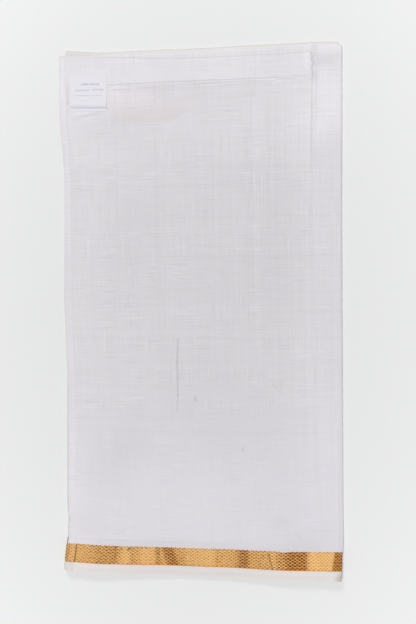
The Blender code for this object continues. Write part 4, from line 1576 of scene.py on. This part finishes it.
@dataclass(frozen=True)
class Ivory:
    """The selvedge: dense warp in cream and a faint pink, with rows of tiny holes from the temple's pins."""

    name: str = "ivory selvedge"
    cream: Colour = colour(223, 218.5, 216.5)
    pink: Colour = colour(219.5, 212, 210)
    dark: Colour = colour(190, 178, 172)
    soil: Colour = colour(172, 160, 152)
    speck: Colour = colour(186, 140, 104)
    roughness: float = 0.85
    sheen: float = 0.06
    cord_relief: float = 0.05 * MM
    soiled: Mark = Mark(170, -313, 11, 14, 0.62, 0.85)
    packet: Packet = Packet()

    def woven(self, w: Wiring, effects: Effects, cloth: Wire) -> tuple[Wire, Wire]:
        """The selvedge's colour and height."""
        s, _, from_selvedge = w.parts(cloth)
        cords = w.wave(from_selvedge, 0.9 * MM)
        picks = w.wave(s, 1.4 * MM)
        middle = w.line(from_selvedge, 3.9 * MM, 3.6 * MM, 0, 1)
        cloudy = w.smooth(w.noise(cloth, 45, 2), 0.3, 0.7)
        base = w.mixed(w.times(middle, w.linear(cloudy, 0.6, 0.4)), self.cream, self.pink)
        ribbed = w.linear(w.times(cords, picks), 0.018, 1)
        hole_row = w.line(from_selvedge, 9.6 * MM, 0.7 * MM, 0.2 * MM, 1)
        holes = w.times(hole_row, w.smooth(picks, 0.5, 0.95))
        base = w.mixed(w.times(holes, 0.45), w.scaled(base, ribbed), self.dark)
        specks = w.smooth(w.streaks(cloth, (500, 700, 1), 1), 0.58, 0.66)
        gold = self.packet.selvedge_width
        beside_gold = w.smooth(from_selvedge, gold - 1.6 * MM, gold)
        base = w.mixed(w.times(specks, beside_gold, 0.7), base, self.speck)
        tick = w.times(w.wave(s, 1.95 * MM), w.smooth(from_selvedge, 6.5 * MM, 8.5 * MM))
        patchy = w.smooth(w.noise(cloth, 55, 1), 0.35, 0.6, 0.3, 1)
        base = w.scaled(base, w.linear(w.times(tick, patchy), 0.035, 1))
        height = w.total(w.times(cords, 0.3), w.times(picks, 0.2), w.times(holes, -0.8))
        return base, height

    def material(self, effects: Effects) -> Material:
        """The selvedge's own material, greyer and darker at the packet's lower right corner."""
        material, w, shader = new_material(self.name)
        cloth = w.attribute("cloth")
        base, height = self.woven(w, effects, cloth)
        soiled = self.soiled.mask(w, effects, w.place(), 0.4)
        base = w.mixed(w.times(soiled, self.soiled.shade), base, self.soil)
        tone, _, _ = w.parts(w.attribute("wash"))
        surface = {"Roughness": self.roughness, "Sheen_Weight": self.sheen}
        finish(w, shader, w.scaled(base, tone), height, self.cord_relief, YARN_TILT, **surface)
        return material


class Rule(NamedTuple):
    """A plain printed rule on the label: its middle and its half sizes, in millimetres, and its strength."""

    x: float
    y: float
    half_length: float
    half_width: float
    strength: float


@dataclass(frozen=True)
class LabelSatin:
    """Smooth lavender-white ribbon, with plain grey rules."""

    name: str = "label satin"
    base: Colour = colour(228, 226.5, 233)
    ink: Colour = colour(150, 150, 172)
    shadow: Colour = colour(166, 160, 188)
    tinge: Colour = colour(228, 217, 230)
    roughness: float = 0.45
    sheen: float = 0.1
    rib_relief: float = 0.02 * MM
    rules: tuple[Rule, ...] = rows_of(
        Rule,
        (1.6, 7.3, 12.2, 1.5, 0.5), (-8.1, -0.1, 9.6, 1.5, 0.34), (11.4, 0.6, 7.4, 1.5, 0.4),
        (-0.6, -6.6, 18.4, 1, 0.36), (-4.5, -12.8, 4.8, 1, 0.17),
    )

    def material(self) -> Material:
        """The label's material; its cloth attribute is centred on the label."""
        material, w, shader = new_material(self.name)
        cloth = w.attribute("cloth")
        u, v, front = w.parts(cloth)
        ink = []
        for rule in self.rules:
            across = w.apart(u, rule.x * MM)
            along = w.apart(v, rule.y * MM)
            long_side = w.smooth(across, rule.half_length * MM, (rule.half_length - 0.6) * MM)
            short_side = w.smooth(along, rule.half_width * MM, (rule.half_width - 0.9) * MM)
            ink.append(w.times(long_side, short_side, rule.strength))
        worn = w.smooth(w.noise(w.stretched(cloth, (1, 0.4, 1)), 520, 2), 0.34, 0.6, 0.4, 1)
        ribs = w.wave(v, 0.5 * MM)
        ribbon = w.scaled(self.base, w.linear(ribs, 0.008, 1))
        base = w.mixed(w.times(w.total(*ink), worn, front), ribbon, self.ink)
        curled = w.times(w.smooth(v, -17 * MM, -20.8 * MM), w.linear(front, 0.26, 0.03))
        base = w.mixed(curled, base, self.shadow)
        rosy = w.math("MAXIMUM", w.smooth(u, 13 * MM, 20 * MM), w.smooth(v, 13 * MM, 19 * MM))
        base = w.mixed(w.times(rosy, 0.22), base, self.tinge)
        surface = {"Roughness": self.roughness, "Sheen_Weight": self.sheen}
        finish(w, shader, base, ribs, self.rib_relief, 0.4, **surface)
        return material


@dataclass(frozen=True)
class Thread:
    """Sewing thread, twisted."""

    name: str = "sewing thread"
    base: Colour = colour(226, 224, 226)
    roughness: float = 0.7
    ply_relief: float = 0.04 * MM

    def material(self) -> Material:
        """The thread's material: slanting plies along the stitch."""
        material, w, shader = new_material(self.name)
        u, v, _ = w.parts(w.attribute("cloth"))
        ply = w.wave(w.math("ADD", u, w.times(v, 0.6)), 0.5 * MM)
        base = w.scaled(self.base, w.linear(ply, 0.05, 0.97))
        finish(w, shader, base, ply, self.ply_relief, 0.5, Roughness=self.roughness)
        return material


# ---- Sub-assemblies


def dress(piece: Piece, material: Material, slot: str, *nodes: str) -> Piece:
    """Gives a piece its material, and says what it rides on and what it replaces.

    Args:
        piece: The piece.
        material: Its material.
        slot: Not used.
        nodes: The frame's nodes that it replaces.

    Returns:
        The piece.
    """
    piece.data.materials.append(material)
    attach(piece, BODY)
    if nodes:
        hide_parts(*nodes)
    log.info("%s: %d faces", piece.name, len(piece.data.polygons))
    return piece


@dataclass
class FoldedLayers:
    """Every layer below the top one, as one folded sheet."""

    cloth: FoldedCloth
    inner_step: float = 8.6 * MM
    turn_steps: dict = field(default_factory=lambda: {1: 12, 3: 10, 5: 6, 7: 6, 9: 8})

    def columns(self) -> tuple[Columns, int]:
        """All stations along the cloth, and how many of them the top layer has."""
        packet = self.cloth.packet
        parts: list[Columns] = []
        last = len(ROUTE) - 1
        for number, leg in enumerate(ROUTE):
            if isinstance(leg, Turn):
                parts.append(self.cloth.turn_columns(number, self.turn_steps[number]))
                continue
            turns = [beside for beside in (number - 1, number + 1) if 0 <= beside <= last]
            ends = {ROUTE[beside].side: self.cloth.turn_centre(beside) for beside in turns}
            low, high = ends.get(Side.LEFT, 0), ends.get(Side.RIGHT, packet.width)
            fold = packet.inner_fold_line
            closer = [(low + 4 * MM, 4 * MM, 2 * MM)]
            if high > fold + 2 * packet.fold_slope:
                closer += [(fold, 2.1 * MM, 0.7 * MM), (packet.width - 4.2 * MM, 2.4 * MM, 0.8 * MM)]
            made = self.cloth.pass_columns(number, graded(low, high, self.inner_step, *closer))
            # A run's stations at its folds are the folds' own
            parts.append(made.picked(slice(int(number > 0), None if number == last else -1)))
        return Columns.joined(parts), len(parts[0].across) + len(parts[1].across)

    def build(self, material: Material) -> Piece:
        """The layers' shell: the whole cloth's grid without the cells that the top layer has."""
        packet = self.cloth.packet
        low = graded(0, packet.border_top, 5.5 * MM)
        lines = ((packet.border_top + 20 * MM, 18 * MM, 6 * MM), (packet.tuck_line, 1.8 * MM, 0.9 * MM))
        top = packet.length - FOLD_REFERENCE_IN
        ground = graded(packet.border_top, top, 12.5 * MM, *lines, (packet.inner_top, 1.8 * MM, 0.9 * MM))
        leaf = np.concatenate([low, ground[1:]])
        rows = Rows.made(leaf, 6, leaf)
        columns, top_columns = self.columns()
        points, place = self.cloth.surface(columns, rows, hidden=True)
        keep = np.ones((len(rows.along) - 1, len(columns.s) - 1), dtype=bool)
        keep[: len(leaf) + 6 - 1, : top_columns - 1] = False
        x, y = points[..., 0], points[..., 1]
        # Painted shade on the lower folds where they show past the hem's left edge
        tone = 1 - 0.07 * ease(-70 * MM, -100 * MM, y) * ease(-150 * MM, -158 * MM, x)
        shell = add_shell("folded_cloth", points, place, wash_of(tone), keep)
        return dress(shell, material, "layered_cotton", "folded_layers")


class Tint(NamedTuple):
    """A soft patch of tone on the ground, in millimetres, and its middle's change in display levels."""

    x: float
    y: float
    reach_x: float
    reach_y: float
    change: float


# Soft patches of tone; the one at (-50, 268) is painted shade in a band below the tuck
TINTS = rows_of(
    Tint,
    (-98, 224, 52, 20, -4.5), (-128, 115, 22, 55, 2.2), (50, 42, 75, 48, -2.8),
    (-108, -183, 28, 32, -4.2), (-90, -132, 28, 16, -2.2), (95, -215, 42, 55, -2),
    (-100, 160, 50, 25, 1.6), (-50, 268, 42, 8, -4.5), (128, -274, 24, 13, -5), (-45, -279, 60, 9, -3),
    (-139, -262, 26, 24, -5), (-122, -212, 32, 26, -2.6), (134.3, 216, 3.6, 18, 4),
    (-95, 265, 16, 9, 3), (141, -192, 8, 18, -3.5),
)
# Display levels above the tuck, at places across the sheet in millimetres
BAND_TONES = ((-150, 228), (-60, 227), (-35, 225), (30, 227.2), (95, 223.8), (123, 228.5))
# Display levels right of the inner panel, at heights on the sheet
STRIP_TONES = (
    (-285, 217), (-257, 219.4), (-235, 221.6), (-150, 220.2), (-100, 218.6), (-60, 216.6), (0, 214.6),
    (70, 216.2), (100, 217.4), (145, 217.4), (175, 218.2), (192, 219.4), (210, 226), (225, 230.5),
    (242, 230.6), (262, 231.6), (287, 229.6), (294, 225.6), (306, 226.4), (310, 232), (318, 235),
)
USUAL_LEVEL = 215
DISPLAY_GAMMA = 2.2


def brightness(level: Array) -> Array:
    """A display level as a share of the cotton's usual one, in linear light."""
    return (level / USUAL_LEVEL) ** DISPLAY_GAMMA


@dataclass
class TopLayer:
    """The top layer: ground, border and selvedge, rolled over the right and upper folds."""

    cloth: FoldedCloth
    step: float = 2.45 * MM
    border_step: float = 1.3 * MM

    def columns(self, step: float) -> Columns:
        """Stations across the top layer and round its right fold."""
        packet = self.cloth.packet
        lines = ((packet.inner_fold_line, 3.5 * MM, 0.7 * MM), (packet.width - 4.4 * MM, 2 * MM, 0.6 * MM))
        places = graded(0, self.cloth.turn_centre(1), step, *lines)
        straight = self.cloth.pass_columns(0, places[:-1])
        return Columns.joined([straight, self.cloth.turn_columns(1, 12)])

    def wash(self, points: Array, place: Array) -> Array:
        """How light, how cool and how pink the ground looks.

        In words: a display level that is lowest half way up, and higher towards both ends, along the hem,
        towards the inner panel's end and right of it, and above the tuck. The cloth is cooler low down and at
        right, and pinkest in two patches right of the label. Painted highlight runs along the upper fold.
        Painted shade lies right of the inner panel's end high up, near the right edge and in a band below
        the tuck.

        Args:
            points: The points.
            place: Their places on the flat cloth.

        Returns:
            The wash.
        """
        packet = self.cloth.packet
        x, y = points[..., 0] / MM, points[..., 1] / MM
        across, along = place[..., 0], place[..., 1]
        beyond = (across - packet.inner_fold_line) / MM
        above_gold = ease(packet.border_top + 12 * MM, packet.border_top, along)
        strip = ease(0, 2, beyond)
        centre = 1 - strip
        level = (
            210
            + 9 * ease(135, 242, y)
            + 9 * ease(-95, -250, y)
            + 9 * np.exp(-across / (60 * MM))
            + 7 * np.exp(np.minimum(beyond, 0) / 22) * (1 - 0.45 * ease(-200, -245, y))
            - 5.5 * above_gold * ease(-134, -116, x)
            + 1.2 * np.sin(x / 37 + 1) * np.sin(y / 61 + 0.4)
        )
        for tint in TINTS:
            distance = np.hypot((x - tint.x) / tint.reach_x, (y - tint.y) / tint.reach_y)
            level = level + tint.change * ridge(distance, 1)
        ragged = 3 * np.sin(x / 6) + 2 * np.sin(x / 2.7 + y / 4)
        ticket_end = -52 - 1.2 * np.clip(y - 262, -18, 12)
        ticket = ease(-114, -108, x) * ease(ticket_end + 12, ticket_end - 12, x + ragged)
        ticket = ticket * ease(249, 255, y) * ease(277, 271, y)
        foot = 229.5 + 11 * ease(-36, -18, x)
        head = 246 + 0.12 * (x + 90)
        pleated = ease(-112, -88, x + ragged) * ease(-10, -30, x + ragged)
        pleated = pleated * ease(foot - 1.5, foot + 1.5, y) * ease(head + 7, head - 5, y + 0.4 * ragged)
        level = level + 2 * ticket * ease(-56, -68, x) - 5.5 * pleated * (0.65 + 0.35 * ridge(y - 234, 6))
        band = ease(packet.tuck_line - 1 * MM, packet.tuck_line + 1 * MM, along)
        bright = reading(BAND_TONES, x)
        # A painted highlight along the rounded upper fold
        fold_highlight = ease(packet.length - 5.5 * MM, packet.length - 3 * MM, along)
        level = level + (bright + 7 * fold_highlight - level) * band
        beside = reading(STRIP_TONES, y)
        # Painted shade right of the inner panel's end high up, and near the right edge
        beside = beside - 3 * ridge(x - 139.5, 5) * ease(190, 215, y)
        beside = beside + 1.5 * ease(157, 163, x) - 4.5 * ease(164.5, 168, x) + 3 * fold_highlight
        beside = beside + ridge(y - 212, 16) * (4.5 * ease(158, 136, x) - 3.5 * ease(150, 166, x))
        level = level + (beside - level) * strip
        cool = 0.8 * ease(-60, -180, y) * centre + strip * (0.15 + 0.65 * ease(-100, -190, y))
        cool = cool + 0.25 * band * centre
        pink = 0.3 * ticket + 0.55 * pleated + 0.2 * above_gold
        return wash_of(brightness(level), np.clip(cool, 0, 1), np.clip(pink, 0, 1))

    def ground(self, material: Material) -> Piece:
        """The ground, from the border to round the upper fold."""
        packet = self.cloth.packet
        lines = ((packet.tuck_line - 2.5 * MM, 5 * MM, 0.7 * MM), (packet.inner_top, 2.1 * MM, 0.7 * MM))
        low, top = packet.border_top + SEAM_GAP / 2, packet.length - FOLD_REFERENCE_IN
        leaf = graded(low, top, 2.75 * MM, *lines, (packet.shoulder, 1.6 * MM, 0.8 * MM))
        points, place = self.cloth.surface(self.columns(self.step), Rows.made(leaf, 6), hidden=False)
        shell = add_shell("ground_cloth", points, place, self.wash(points, place))
        return dress(shell, material, "ground_cotton", "ground_panel")

    def border(self, material: Material) -> Piece:
        """The gold border, whose wash is its painted sheen: how brightly its threads catch the light."""
        packet = self.cloth.packet
        leaf = np.linspace(packet.selvedge_width + SEAM_GAP / 2, packet.border_top - SEAM_GAP / 2, 18)
        columns = self.columns(self.border_step)
        points, place = self.cloth.surface(columns, Rows.made(leaf, 0), hidden=False)
        x = points[..., 0] / MM
        depth = np.linspace(-0.5, 0.5, len(leaf))[::-1, None]
        glow = reading(SHEEN, x - reading(SHEEN_LEAN, x) * depth)
        slant = points[..., 1] - points[:, :1, 1]
        glow = glow + 0.06 * np.sin(points[..., 0] / (6.3 * MM) + slant / (5 * MM))
        shell = add_shell("zari_band", points, place, wash_of(np.clip(glow, 0, 1)))
        return dress(shell, material, "zari_weave", "zari_border")

    def selvedge(self, material: Material) -> Piece:
        """The white selvedge below the border."""
        packet = self.cloth.packet
        leaf = np.linspace(0, packet.selvedge_width - SEAM_GAP / 2, 10)
        points, place = self.cloth.surface(self.columns(self.border_step), Rows.made(leaf, 0), hidden=False)
        x = points[..., 0] / MM
        tone = 1 + 0.06 * ease(-60, -140, x) + 0.03 * ease(40, 130, x)
        shell = add_shell("selvedge_cloth", points, place, wash_of(tone))
        return dress(shell, material, "selvedge_cotton", "selvedge_strip")


class HemPoint(NamedTuple):
    """A point of the hem's section, in millimetres: across from the left edge, and above the top layer."""

    across: float
    lift: float


# Clockwise seen from the selvedges, from the sewn inner edge over the crown, round the end and back below
HEM_SECTION = rows_of(
    HemPoint,
    (9.5, 0.06), (9.62, 0.22), (9.5, 0.4), (9.15, 0.48), (8.7, 0.4), (8.2, 0.3), (7.5, 0.42),
    (6.2, 0.58), (4.4, 0.66), (2.6, 0.64), (1.2, 0.54), (0.35, 0.36), (-0.15, 0.1), (-0.3, -0.12),
    (-0.22, -0.3), (-0.08, -0.22), (-0.06, 0.02), (3.00, 0.02), (7.00, 0.02),
)
# Display levels of the hem at heights on the sheet, in millimetres
HEM_TONES = (
    (-270, 225.4), (-225, 226.8), (-150, 225.2), (-118, 221), (-105, 219.4), (-57, 221.6), (-22, 220.5),
    (14, 218.6), (60, 218.6), (86, 222.8), (158, 224), (205, 224.2), (229, 226),
    (244, 228.5), (258, 231), (268, 234.5), (276, 234), (284, 231.5), (310, 232),
)
STITCH_LINE = 8.2 * MM
STITCH_LENGTH = 2.5 * MM
STITCH_GAP = 0.9 * MM
STITCH_ARCH = 0.1 * MM
THREAD_RADIUS = 0.19 * MM
THREAD_HEIGHT = 0.34 * MM


@dataclass
class EndHem:
    """The turned and sewn end of the cloth: ground, border and selvedge stretches, and the stitches."""

    cloth: FoldedCloth
    row_step: float = 2.6 * MM

    def top_points(self, across: Array, along: Array) -> Array:
        """Points on the outer face of the top layer.

        Args:
            across: Distances from the left edge.
            along: Distances from the lower edge, of the same shape.

        Returns:
            Their places.
        """
        packet = self.cloth.packet
        x, y = packet.plan(across, along)
        return stacked(x, y, packet.curl(x, y) + self.cloth.top_height(x, y))

    @staticmethod
    def wander(along: Array) -> Array:
        """How far the sewn edge strays across, in two slow waves."""
        return 0.22 * MM * np.sin(along / (24 * MM)) + 0.12 * MM * np.sin(along / (9 * MM) + 0.5)

    def sections(self, along: Array) -> tuple[Array, Array]:
        """The hem's section carried up the left edge: its lift swells in slow waves, its sewn edge wanders.

        Args:
            along: The rows' places, from the selvedges up.

        Returns:
            Rings of points, and their places on the flat cloth.
        """
        across = np.array([point.across for point in HEM_SECTION]) * MM
        lift = np.array([point.lift for point in HEM_SECTION]) * MM
        rows = along[:, None]
        swell = 1 + 0.22 * np.sin(rows / (13 * MM)) * np.sin(rows / (41 * MM) + 1)
        swell = swell + 0.08 * np.sin(rows / (5.1 * MM) + 2)
        across_all = across[None, :] + self.wander(rows) * ease(6 * MM, 10 * MM, across)
        points = self.top_points(np.maximum(across_all, 0), np.broadcast_to(rows, across_all.shape))
        points[..., 0] += np.minimum(across_all, 0)
        raised = np.where(lift > 0.03 * MM, lift * swell, lift)
        points[..., 2] += raised
        return points, stacked(across_all, rows, np.minimum(rows, self.cloth.packet.loom_width - rows))

    def stretch(self, name: str, along: Array, tones: tuple, cool: float = 0) -> Piece:
        """One stretch of the hem, toned by a table of heights and display levels."""
        rings, place = self.sections(along)
        look = wash_of(brightness(reading(tones, rings[..., 1] / MM)), cool)
        return add_loft(name, rings[:, ::-1], place[:, ::-1], look[:, ::-1])

    def build(self, cotton: Material, zari: Material, ivory: Material) -> list:
        """The hem's three stretches."""
        packet = self.cloth.packet
        gap = SEAM_GAP / 2
        ground_rows = graded(packet.border_top + gap, packet.shoulder - 0.4 * MM, self.row_step)
        border_rows = graded(packet.selvedge_width + gap, packet.border_top - gap, 1.4 * MM)
        selvedge_rows = graded(-0.15 * MM, packet.selvedge_width - gap, 1.2 * MM)
        hem = self.stretch("end_hem_cloth", ground_rows, HEM_TONES, 0.2)
        # The gold's wash is an even painted sheen
        gold = self.stretch("end_hem_band", border_rows, ((0, 173),))
        corner = self.stretch("end_hem_corner", selvedge_rows, ((0, 215),))
        return [
            dress(hem, cotton, "hem_cotton", "end_hem"),
            dress(gold, zari, "zari_weave", "end_hem_border"),
            dress(corner, ivory, "selvedge_cotton", "end_hem_selvedge"),
        ]

    def stitches(self, material: Material) -> Piece:
        """The sewing line: a rounded stroke of thread for each stitch, in the groove that it pulls in."""
        packet = self.cloth.packet
        pitch = STITCH_LENGTH + STITCH_GAP
        starts = np.arange(1.2 * MM, packet.shoulder - pitch, pitch)
        rings, sides = 7, 8
        share = np.linspace(0, 1, rings)
        radius = THREAD_RADIUS * np.sqrt(np.clip(1 - (2 * share - 1) ** 4, 0, 1)) + 0.02 * MM
        angle = np.linspace(0, 2 * pi, sides, endpoint=False)
        along = (starts[:, None, None] + share[None, :, None] * STITCH_LENGTH) + 0 * angle
        base = self.top_points(STITCH_LINE + 0.3 * self.wander(along), along)
        arch = STITCH_ARCH * np.sin(pi * share)[:, None]
        base[..., 0] += radius[:, None] * np.cos(angle)
        base[..., 2] += THREAD_HEIGHT + arch + radius[:, None] * np.sin(angle)
        count = len(starts)
        numbers = np.arange(count * rings * sides).reshape(count, rings, sides)
        beside = np.roll(numbers, -1, axis=2)
        corners = (numbers[:, :-1], numbers[:, 1:], beside[:, 1:], beside[:, :-1])
        walls = np.stack(corners, axis=-1).reshape(-1, 4)
        faces = walls.tolist() + numbers[:, 0].tolist() + numbers[:, -1, ::-1].tolist()
        place = stacked(along, radius[:, None] * angle, 0)
        piece = add_piece("hem_stitches", base.reshape(-1, 3), faces, place.reshape(-1, 3))
        return dress(piece, material, "hem_cotton")


@dataclass
class SewnLabel:
    """A small looped label: a front and a longer back, folded at the top and sewn down along it."""

    cloth: FoldedCloth
    width: float = 44.6 * MM
    height: float = 42.8 * MM
    centre: tuple[float, float] = (-135.6 * MM, 270.2 * MM)
    turn: float = -0.023
    back_longer: float = 3.6 * MM
    fold_radius: float = 0.22 * MM
    clearance: float = 0.16 * MM
    lift: float = 0.9 * MM
    lifted_height: float = 14 * MM
    dent: float = 0.08 * MM

    def placed(self, u: Array, v: Array, lift: Array) -> Array:
        """Points on the label, turned and laid on the top layer at a height above it."""
        x = self.centre[0] + u * np.cos(self.turn) - v * np.sin(self.turn)
        y = self.centre[1] + u * np.sin(self.turn) + v * np.cos(self.turn)
        return stacked(x, y, self.cloth.top_height(x, y) + lift)

    def build(self, material: Material) -> Piece:
        """One strip: up the back, round the top and down the front, which stands off towards its foot."""
        half = self.height / 2
        radius = self.fold_radius
        back = np.linspace(-half - self.back_longer, half, 26)
        angle = np.linspace(-pi / 2, pi / 2, 9)[1:-1]
        front = np.linspace(half, -half, 30)
        v = np.concatenate([back, half + radius * np.cos(angle), front])
        lift = np.concatenate([0 * back, radius * (1 + np.sin(angle)), 0 * front + 2 * radius])
        is_front = np.concatenate([0 * back, ease(-1, 1, angle), 0 * front + 1])
        u = np.linspace(-self.width / 2, self.width / 2, 34)[None, :]
        v, lift, is_front = v[:, None], lift[:, None], is_front[:, None]
        open_share = ease(-half + self.lifted_height, -half, v) * is_front
        corner = 0.35 * ease(0.55, 1, np.abs(u) / (self.width / 2)) + 0.25 * np.sin(u / (9 * MM) + 0.8)
        stand = self.lift * open_share * (0.75 + corner)
        dent = self.dent * is_front * np.sin(u / (6 * MM) + v / (11 * MM))
        base = self.clearance + lift + stand + dent * (1 - open_share)
        shell = add_shell("label_loop", self.placed(u, v, base), stacked(u, v, is_front))
        return dress(shell, material, "label_cloth", "label")


# ---- Floor, light and camera


@dataclass(frozen=True)
class Studio:
    """A plain pale floor, soft light and the camera."""

    floor_size: float = 8
    camera_distance: float = 1.045
    camera_yaw: float = 6.5
    aim_x: float = 10.2 * MM
    lens: float = 50
    sensor: float = 36
    floor_colour: Colour = colour(224, 224.5, 224.5)
    floor_roughness: float = 0.9
    floor_gloss: float = 0.2
    room_light: float = 0.2

    def floor(self) -> None:
        """The floor, with painted shade that leaves it a little lighter away from its middle."""
        half = self.floor_size / 2
        mesh = bpy.data.meshes.new("floor")
        corners = [(-half, -half, 0), (half, -half, 0), (half, half, 0), (-half, half, 0)]
        mesh.from_pydata(corners, [], [(0, 1, 2, 3)])
        floor = add_object("floor", mesh)
        material, w, shader = new_material("pale floor")
        x, y, _ = w.parts(w.place())
        # Painted shade: the floor's colour is darker round the packet and lighter towards its edges
        rise = 1
        for place, reach, amount in ((x, 0.25, 0.09), (y, 0.37, 0.115)):
            share = w.math("DIVIDE", place, reach)
            rise = w.total(rise, w.times(w.math("MINIMUM", w.times(share, share), 1.15), amount))
        base = w.scaled(self.floor_colour, rise)
        surface = {"Roughness": self.floor_roughness, "Specular IOR Level": self.floor_gloss}
        w.fill(shader, {"Base Color": base, **surface})
        mesh.materials.append(material)

    def lights(self) -> None:
        """Even light from all round, and one soft light from above the upper fold."""
        world = bpy.data.worlds.new("soft room")
        world.use_nodes = True
        background = world.node_tree.nodes["Background"]
        Wiring(world.node_tree).fill(background, {"Color": (1, 1, 1, 1), "Strength": self.room_light})
        bpy.context.scene.world = world
        lamps = (("overhead", (0.05, -0.25, 2.4), 1.2, 41.5), ("key", (-0.35, 2, 2), 0.8, 16))
        for name, place, size, power in lamps:
            lamp = bpy.data.lights.new(name, "AREA")
            lamp.shape = "DISK"
            lamp.size = size
            lamp.energy = power
            light = add_object(name, lamp)
            light.location = place
            # It looks at the origin
            x, y, z = place
            light.rotation_euler = (atan2(hypot(x, y), z), 0, atan2(x, -y))

    def camera(self) -> None:
        """The camera, which looks down on the packet from a little to its right."""
        data = bpy.data.cameras.new("camera")
        data.lens, data.sensor_width = self.lens, self.sensor
        data.clip_start, data.clip_end = 0.05, 20
        camera = add_object("camera", data)
        yaw = radians(self.camera_yaw)
        reach = self.camera_distance
        camera.location = (self.aim_x + reach * sin(yaw), 0, reach * cos(yaw))
        camera.rotation_euler = (0, yaw, 0)
        bpy.context.scene.camera = camera

    def build(self) -> None:
        """Floor, lights, camera and plain display colours."""
        self.floor()
        self.lights()
        self.camera()
        bpy.context.scene.view_settings.view_transform = "Standard"
        bpy.context.scene.view_settings.look = "None"


def main() -> None:
    logging.basicConfig(level=logging.INFO, format="%(name)s %(message)s")
    Studio().build()
    effects = Effects()
    packet = Packet()
    cloth = FoldedCloth(packet)
    zari, ivory = Zari(), Ivory()
    zari_material, ivory_material = zari.material(effects), ivory.material(effects)

    layers = FoldedLayers(cloth).build(LayeredCotton().material(effects, zari, ivory))
    top = TopLayer(cloth)
    ground = top.ground(GroundCotton().material(effects))
    border = top.border(zari_material)
    selvedge = top.selvedge(ivory_material)
    hem = EndHem(cloth)
    hem_pieces = hem.build(Cotton().plain(effects), zari_material, ivory_material)
    stitches = hem.stitches(Thread().material())
    label = SewnLabel(cloth).build(LabelSatin().material())


if __name__ == "__main__":
    main()
